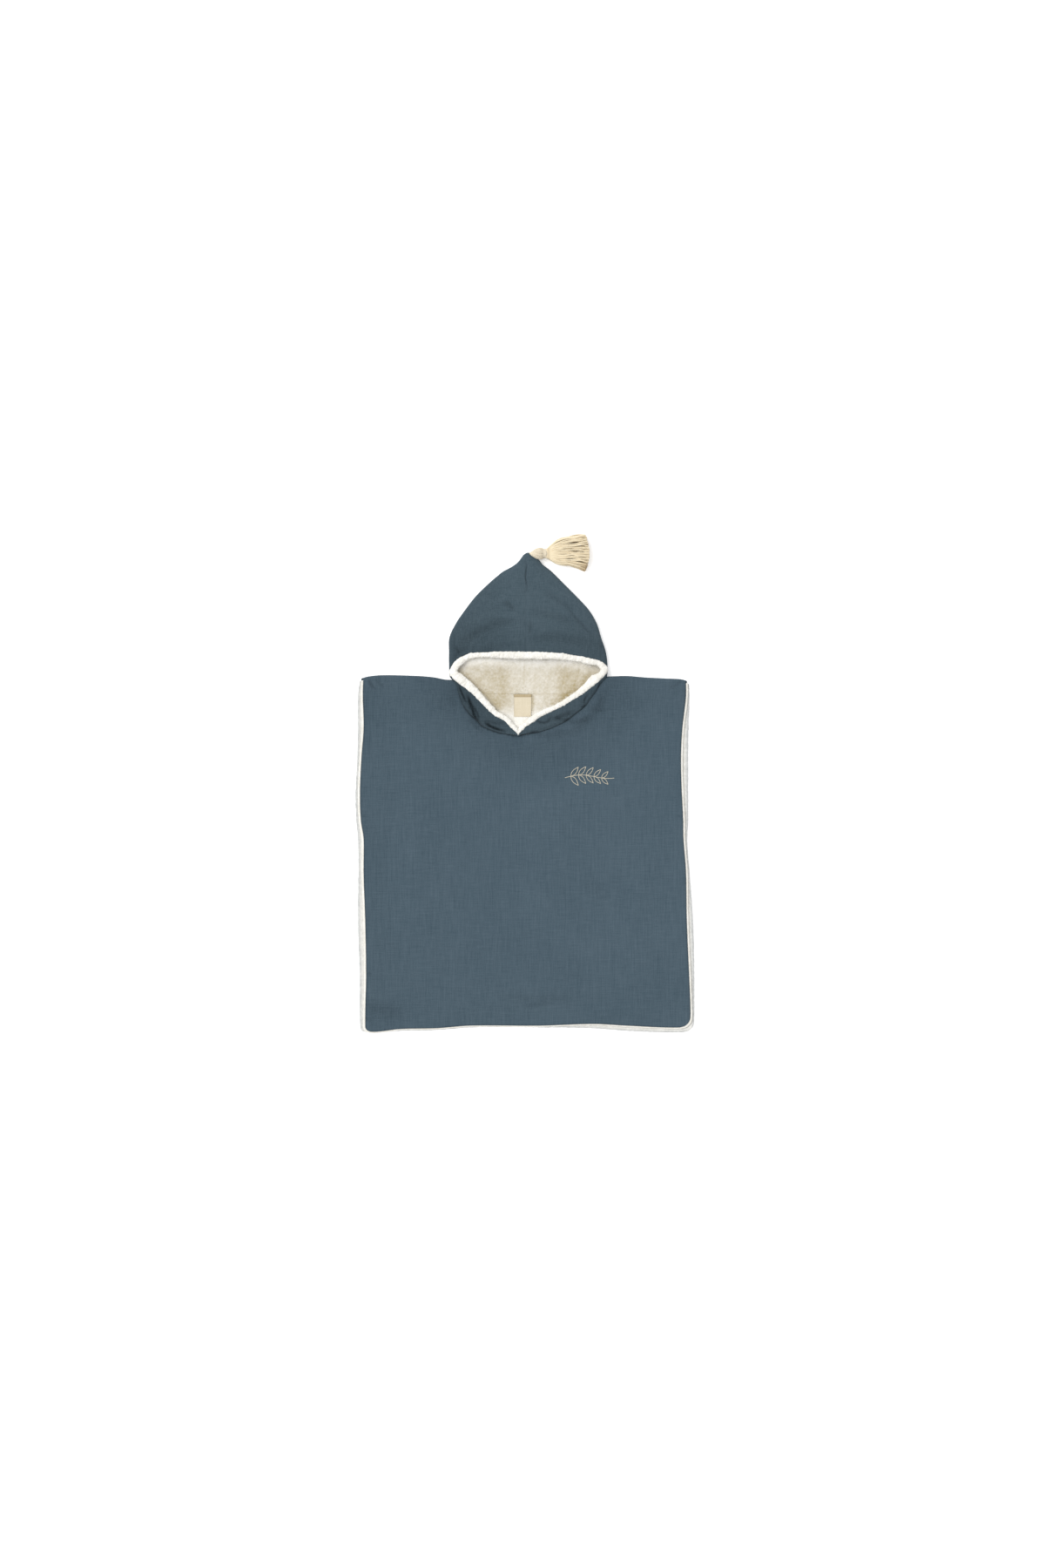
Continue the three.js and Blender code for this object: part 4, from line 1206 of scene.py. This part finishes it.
# %% Tubes
def tubes(name, paths, radius, sides=6, pitch=5.0, taper=0.0):
    """One mesh of closed tubes along paths in layout millimetres."""
    points, faces, places = [], [], []
    angles = 2 * np.pi * np.arange(sides) / sides
    for path in paths:
        path = np.asarray(path, float)
        along = np.gradient(path, axis=0)
        along /= np.linalg.norm(along, axis=1)[:, None]
        side = np.cross(along, (0, 0, 1.0))
        side /= np.maximum(np.linalg.norm(side, axis=1), 1e-6)[:, None]
        over = np.cross(side, along)
        share = np.linspace(0, 1, len(path))
        size = radius * (1 - taper * share ** 4)
        cosines, sines = np.cos(angles)[None, :, None], np.sin(angles)[None, :, None]
        ring = path[:, None] + size[:, None, None] * (cosines * side[:, None] + sines * over[:, None])
        turns = distances(path) / pitch
        base = len(points)
        points.extend(ring.reshape(-1, 3).tolist())
        for i in range(len(path) - 1):
            for k in range(sides):
                a, b = base + i * sides + k, base + i * sides + (k + 1) % sides
                faces.append((a, b, b + sides, a + sides))
                low, high = k / sides, (k + 1) / sides
                places += [(turns[i], low), (turns[i], high), (turns[i + 1], high), (turns[i + 1], low)]
        last = base + (len(path) - 1) * sides
        faces += [tuple(range(base, base + sides))[::-1], tuple(range(last, last + sides))]
        places += [(turns[0], 0.1)] * sides + [(turns[-1], 0.1)] * sides
    item = add_object(name, points, faces)
    layer = item.data.uv_layers.new(name="thread")
    layer.data.foreach_set("uv", np.array(places).ravel())
    face_out(item)
    return item


# %% Finishes of yarn, thread and tape
YARN = cloth_material(
    "tassel_yarn", ("e4cb9f", "fff3d6", "a88a5c"),
    TWIST, (0.1, 0.7), (0.5, 0.45), 0.06, 0.9, "UV")
HEAD_YARN = cloth_material(
    "tassel_head_yarn", ("d3c3a4", "f3e8d2", "9c8560"),
    TWIST, (0.1, 0.75), (0.6, 0.45), 0.06, 0.9, "UV")
THREAD = cloth_material(
    "ecru_thread", ("b4ad9b", "d6d0bf", "6d6658"),
    TWIST, (0.15, 0.8), (0.5, 0.2), 0.02, 0.7, "UV")
TAPE = cloth_material(
    "label_tape", ("d6cab0", "e4d9c2", "a8956f"),
    WEAVE, (0.36, 0.64), (0.35, 0.25), 0.02, 0.95)

# %% [markdown]
# Tassel
#
# A maker winds yarn round a card, ties it at one end, cuts the other and wraps the neck. So the
# tassel is a head of folded yarn, a few turns of wrapping, and a skirt of loose strands whose
# cut ends fan out. The strands start close together at the neck and wander a little.

# %% Tassel sizes
# Places across start at the hood's centre seam; the up and rise are those of the middle line
TASSEL_UP, TASSEL_RISE = 220.3, 11.5
NECK_START, NECK_END, NECK_RADIUS = 31.2, 38.0, 7.4
NECK_CORE = (30, 41)
HEAD_PROFILE = columns("across radius", [
    (8.5, 1.4), (10, 3.4), (13, 5.4), (17.2, 7.9), (22, 9.6), (26.6, 10.3), (29.6, 9.2), (33, 7.0),
])
HEAD_START = HEAD_PROFILE["across"][0]
HEAD_LONG = HEAD_PROFILE["across"][-1] - HEAD_START
HEAD_YARNS, HEAD_YARN_RADIUS, HEAD_SEED = 34, 0.98, 3
HEAD_CLOSING = 22
HEAD_TWISTS = (5, 24)
CORD_PLIES, PLY_RADIUS, PLY_OUT = 3, 1.0, 0.9
CORD_START, CORD_MOVE = (6.5, 220.6, 9.8), (8.5, -0.3, 1.4)
WRAP_TURNS, WRAP_RADIUS, WRAP_YARN = 4.6, 7.9, 0.8
WRAP_STEPS = 40
STRANDS_START, TIP_START, TIP_END = 32, 106.0, 113.6
STRAND_RADIUS, STRAND_POINTS, STRAND_SIDES, STRAND_SEED = 1.12, 24, 6, 7
TONE_RANGE, TONE_SEED = (0, 0.24), 11
SKIRT = columns("across above below deep", [
    (30, 5.6, 5.6, 5.6), (38, 8.4, 8.2, 6.2), (41, 11.6, 9.6, 6.6), (45, 16.0, 12.0, 6.8),
    (52, 22.0, 16.6, 7.2), (58, 25.8, 18.6, 7.4), (68, 29.6, 20.2, 7.6), (81, 32.2, 22.0, 7.8),
    (92, 33.6, 25.4, 7.7), (100, 34.4, 28.8, 7.6), (107, 34.4, 31.4, 7.4), (113, 34, 32, 7.2),
])
# Layers of the skirt from the ground up: level, number of strands and reach to the sides
LAYERS = ((-1, 22, 0.86), (-0.6, 26, 0.95), (-0.2, 29, 1.0),
          (0.2, 29, 0.99), (0.6, 27, 0.96), (1, 24, 0.9))


def round_axis(x, radius, turn):
    """Points round the tassel's middle line, at distances and angles from it."""
    return np.stack([x, TASSEL_UP + radius * np.cos(turn), TASSEL_RISE + radius * np.sin(turn)], -1)


# %% Strands of the skirt
def skirt_paths():
    """Paths of the strands, layer by layer from the ground up."""
    chance = np.random.default_rng(STRAND_SEED)
    share = np.linspace(0, 1, STRAND_POINTS) ** 1.3
    paths = []
    for level, count, reach in LAYERS:
        for i in range(count):
            place = -1 + 2 * (i + 0.5 + chance.uniform(-0.35, 0.35)) / count
            longest = TIP_START + (TIP_END - TIP_START) * (1 - abs(place) ** 1.8)
            tip = longest + chance.uniform(-1.2, 0.6)
            x = STRANDS_START + (tip - STRANDS_START) * share
            spread = read_table(SKIRT, "across", x, "above" if place > 0 else "below")
            phase, bend = chance.uniform(0, 6.3, 2), chance.uniform(-1, 1)
            wander = 2.3 * np.sin(6 * share + phase[0]) + 1.1 * np.sin(15 * share + phase[1])
            wander *= 1 - 0.5 * place ** 4
            y = TASSEL_UP + place * reach * spread + share * (wander + 2.6 * bend * share)
            deep = read_table(SKIRT, "across", x, "deep") * math.sqrt(1 - 0.45 * place ** 2)
            sag = 1.2 * share ** 2 * (1 - level)
            z = TASSEL_RISE + level * deep - sag + share * 1.3 * np.sin(8 * share + phase[1])
            z = np.maximum(z, STRAND_RADIUS + 0.45)
            paths.append(np.stack([x, y, z], axis=-1))
    return paths


# %% Core of the head
bpy.ops.mesh.primitive_uv_sphere_add(segments=96, ring_count=44, radius=1)
head = bpy.context.object
head.name = "tassel_head"
ball = mesh_points(head)
lengthwise = np.arccos(np.clip(-ball[:, 2], -1, 1)) / np.pi
across = HEAD_START + lengthwise * HEAD_LONG
closing = np.sqrt(np.clip(np.minimum(lengthwise, 1 - lengthwise) * HEAD_CLOSING, 0, 1))
radius = (read_table(HEAD_PROFILE, "across", across, "radius") - HEAD_YARN_RADIUS) * closing
place_points(head, round_axis(across, radius, np.arctan2(ball[:, 1], ball[:, 0])))
uv = head.data.uv_layers[0].data
corner = np.empty(len(uv) * 2)
uv.foreach_get("uv", corner)
uv.foreach_set("uv", (corner.reshape(-1, 2)[:, ::-1] * HEAD_TWISTS).ravel())
face_out(head)


# %% Yarns of the head
def head_paths():
    """Yarns that run from the cord over the head and into the neck, slightly aslant."""
    chance = np.random.default_rng(HEAD_SEED)
    share = np.linspace(0, 1, 20)
    x = HEAD_START + share * HEAD_LONG
    reach = read_table(HEAD_PROFILE, "across", x, "radius") - 0.5 * HEAD_YARN_RADIUS
    paths = []
    for k in range(HEAD_YARNS):
        start = 2 * np.pi * (k + chance.uniform(-0.25, 0.25)) / HEAD_YARNS
        turn = start + chance.uniform(0.1, 0.5) * share
        loose = reach * (1 + 0.05 * chance.uniform(-1, 1) * np.sin(np.pi * share))
        paths.append(round_axis(x, loose, turn))
    return paths


head_yarns = tubes("head_yarns", head_paths(), HEAD_YARN_RADIUS, sides=6, pitch=4.2)

# %% Skirt, neck, cord and wrapping
skirt = tubes("tassel_strands", skirt_paths(), STRAND_RADIUS, sides=STRAND_SIDES, pitch=5.2, taper=0.1)
neck_line = [(x, TASSEL_UP, TASSEL_RISE) for x in np.linspace(*NECK_CORE, 6)]
neck = tubes("tassel_neck", [neck_line], NECK_RADIUS, sides=32)
t = np.linspace(0, 1, 14)
cord_lines = []
for k in range(CORD_PLIES):
    turn = 2 * np.pi * k / CORD_PLIES + 4 * t
    x, y, z = (start + move * t for start, move in zip(CORD_START, CORD_MOVE))
    cord_lines.append(np.stack([x, y + PLY_OUT * np.cos(turn), z + PLY_OUT * np.sin(turn)], -1))
cord = tubes("tassel_cord", cord_lines, PLY_RADIUS, sides=8)
t = np.linspace(0, 1, int(WRAP_TURNS * WRAP_STEPS))
wrap_line = round_axis(
    NECK_START + 0.6 + (NECK_END - NECK_START - 2.2) * t, WRAP_RADIUS, 2 * np.pi * WRAP_TURNS * t)
wrap = tubes("tassel_wrap", [wrap_line], WRAP_YARN, sides=10)


# %% Tassel put together
def join(name, *items):
    """Joins pieces of one yarn into one object."""
    bpy.ops.object.select_all(action="DESELECT")
    for item in items:
        item.data.uv_layers[0].name = "thread"
        item.select_set(True)
    bpy.context.view_layer.objects.active = items[0]
    bpy.ops.object.join()
    items[0].name = name
    return items[0]


def tassel_shade(x, y, z):
    """Darker underneath, behind the wrapping, and at the lower corner of the tips."""
    under = 0.8 * ramp(-z, -13, -3) * ramp(x, 36, 60)
    behind_wrap = 0.45 * bell(x - 40, 2.5)
    return under + behind_wrap + 0.62 * ramp(x, 88, 108) * ramp(TASSEL_UP - y, 10, 27)


strands = sum(count for _, count, _ in LAYERS)
tones = np.random.default_rng(TONE_SEED).uniform(*TONE_RANGE, strands)
tones = np.repeat(tones, STRAND_POINTS * STRAND_SIDES)
tassel = join("tassel_skirt", skirt, cord)
tassel_top = join("tassel_crown", head, neck, head_yarns)
for item in (tassel, tassel_top, wrap):
    x, y, z = layout_points(item).T
    shade = tassel_shade(x, y, z)
    # Each strand's random tone of its own is added to the same number as the painted shade
    if item is tassel:
        shade[:len(tones)] += tones * ramp(x[:len(tones)], 38, 60)
    set_shade(item, shade)
    print(item.name, len(item.data.polygons), "faces")
dress(tassel, YARN, ["tassel"])
dress(tassel_top, HEAD_YARN)
dress(wrap, HEAD_YARN, ["tassel_binding"])

# %% [markdown]
# Neck label
#
# A short piece of cotton tape is sewn into the back neck seam with its top end folded under. It
# is left bare. It lies on the pile and lifts a little at its lower corners.

# %% Label
LABEL_WIDE, LABEL_LONG, FOLD_LONG = 31.0, 40.0, 4.5
LABEL_LEVEL, FOLD_RISE = 5.15, 0.7
TAPE_THICKNESS = 0.5


def tape(name, long, level, curl):
    """A strip of tape that hangs down from the neck seam."""
    bpy.ops.mesh.primitive_grid_add(x_subdivisions=28, y_subdivisions=36, size=1)
    strip = bpy.context.object
    strip.name = name
    grid = mesh_points(strip)
    x = LABEL_ACROSS + grid[:, 0] * (LABEL_WIDE - 0.5 * (grid[:, 1] < -0.3))
    down = (0.5 - grid[:, 1]) * long
    side = 2 * grid[:, 0]
    z = level + curl * (0.35 * side ** 2 * (down / long) ** 2 + 0.12 * np.sin(0.21 * down + 1.4 * side))
    place_points(strip, np.stack([x + 0.25 * np.sin(0.13 * down), LABEL_TOP - down, z], -1))
    thicken = strip.modifiers.new("thickness", "SOLIDIFY")
    thicken.thickness = TAPE_THICKNESS * 0.001
    thicken.offset = 0
    pick(strip)
    bpy.ops.object.modifier_apply(modifier=thicken.name)
    return strip


label = join(
    "neck_label",
    tape("tape", LABEL_LONG, LABEL_LEVEL, 1),
    tape("tape_end", FOLD_LONG, LABEL_LEVEL + FOLD_RISE, 0))
x, y, z = layout_points(label).T
fold = (z > LABEL_LEVEL + 0.2) * (y > LABEL_TOP - FOLD_LONG - 0.5)
side_edge = bell(LABEL_WIDE / 2 - np.abs(x - LABEL_ACROSS), 1.2)
set_shade(label, 0.75 * fold + 0.25 * side_edge)
dress(label, TAPE, ["label"])
print("label:", len(label.data.polygons), "faces")

# %% [markdown]
# Stitches
#
# A leafy sprig is embroidered on the chest in running stitch. Every stitch is a short tube that
# rises out of the cloth and goes back into it, at the height that the creases give the cloth.

# %% Stitches along a line
STITCH_LONG, STITCH_LIFT, THREAD_RADIUS = 2.8, 0.5, 0.58
STITCH_PLACES = np.array([0.04, 0.2, 0.5, 0.8, 0.96])
STITCH_RISE = np.array([-0.5, 0.6, 1, 0.6, -0.5])


def stitch_paths(line):
    """Short stitches along a line that lies on the front cloth."""
    before = distances(line)
    count = max(int(before[-1] / STITCH_LONG), 1)
    paths = []
    for k in range(count):
        at = (k + STITCH_PLACES) / count * before[-1]
        x, y = np.interp(at, before, line[:, 0]), np.interp(at, before, line[:, 1])
        cloth = FRONT_CLOTH_Z + GAUZE + crease_field(FRONT_CREASES, x, y)[0]
        paths.append(np.stack([x, y, cloth + STITCH_LIFT * STITCH_RISE], -1))
    return paths


# %% The sprig
SPRIG_START, SPRIG_LONG, SPRIG_UP = 70.0, 88.0, -181.0
LEAF_PAIRS, LEAF_LONG, LEAF_FULL = 5, 22.0, 0.17


def sprig_lines():
    """A waving stem, and leaves in pairs that get smaller towards its end."""
    t = np.linspace(0, 1, 40)
    stem = np.stack([SPRIG_START + SPRIG_LONG * t, SPRIG_UP + 4 * np.sin(5.2 * t) + 3 * t], -1)
    lines = [stem]
    for k in range(LEAF_PAIRS):
        at = 0.12 + 0.78 * k / LEAF_PAIRS
        root = (np.interp(at, t, stem[:, 0]), np.interp(at, t, stem[:, 1]))
        long = LEAF_LONG * (1 - 0.35 * at)
        for hand in (1, -1):
            heading = math.radians(hand * (52 - 10 * at))
            s = np.linspace(0, 1, 14)
            for bulge in (1, -1):
                ahead, beside = long * s, bulge * LEAF_FULL * long * np.sin(np.pi * s ** 0.85)
                lines.append(np.stack([
                    root[0] + ahead * math.cos(heading) - beside * math.sin(heading),
                    root[1] + ahead * math.sin(heading) + beside * math.cos(heading)], -1))
    return lines


stitches = [path for line in sprig_lines() for path in stitch_paths(line)]
sprig = tubes("sprig", stitches, THREAD_RADIUS, pitch=2)
dress(sprig, THREAD)
set_shade(sprig, np.zeros(len(sprig.data.vertices)))
print(len(stitches), "stitches,", len(sprig.data.polygons), "faces")

# %% [markdown]
# Floor
#
# A sheet of paper just under the garment takes its shadow. It gives off a little light of its
# own, so that it comes out white everywhere else. It belongs to the stage, not to the garment.

# %% Paper under the garment
# Size and drop in metres
FLOOR_SIZE, FLOOR_DROP = 60, 0.0006
PAPER, PAPER_GLOW = 0.9, 0.3

bpy.ops.mesh.primitive_plane_add(size=FLOOR_SIZE, location=(0, 0, -FLOOR_DROP))
floor = bpy.context.object
floor.name = "floor"
floor_paint = bpy.data.materials.new("floor_paint")
floor_paint.use_nodes = True
paper = floor_paint.node_tree.nodes["Principled BSDF"]
paper.inputs["Base Color"].default_value = (PAPER, PAPER, PAPER, 1)
paper.inputs["Roughness"].default_value = 1.0
paper.inputs["Specular IOR Level"].default_value = 0.0
paper.inputs["Emission Color"].default_value = (1, 1, 1, 1)
paper.inputs["Emission Strength"].default_value = PAPER_GLOW
floor.data.materials.append(floor_paint)

# %% [markdown]
# How much cloth
#
# A closed shell shows both of its faces, so half of its surface tells how much cloth there really
# is, and that is printed for the front cloth and for each half of the hood.

# %% Cloth areas
def cloth_area(item):
    """Half of a closed shell's surface, in square metres."""
    return sum(face.area for face in item.data.polygons) / 2


print("front_cloth", round(cloth_area(front_cloth), 4), "m2")
for name, item in halves.items():
    print(name, round(cloth_area(item), 4), "m2")
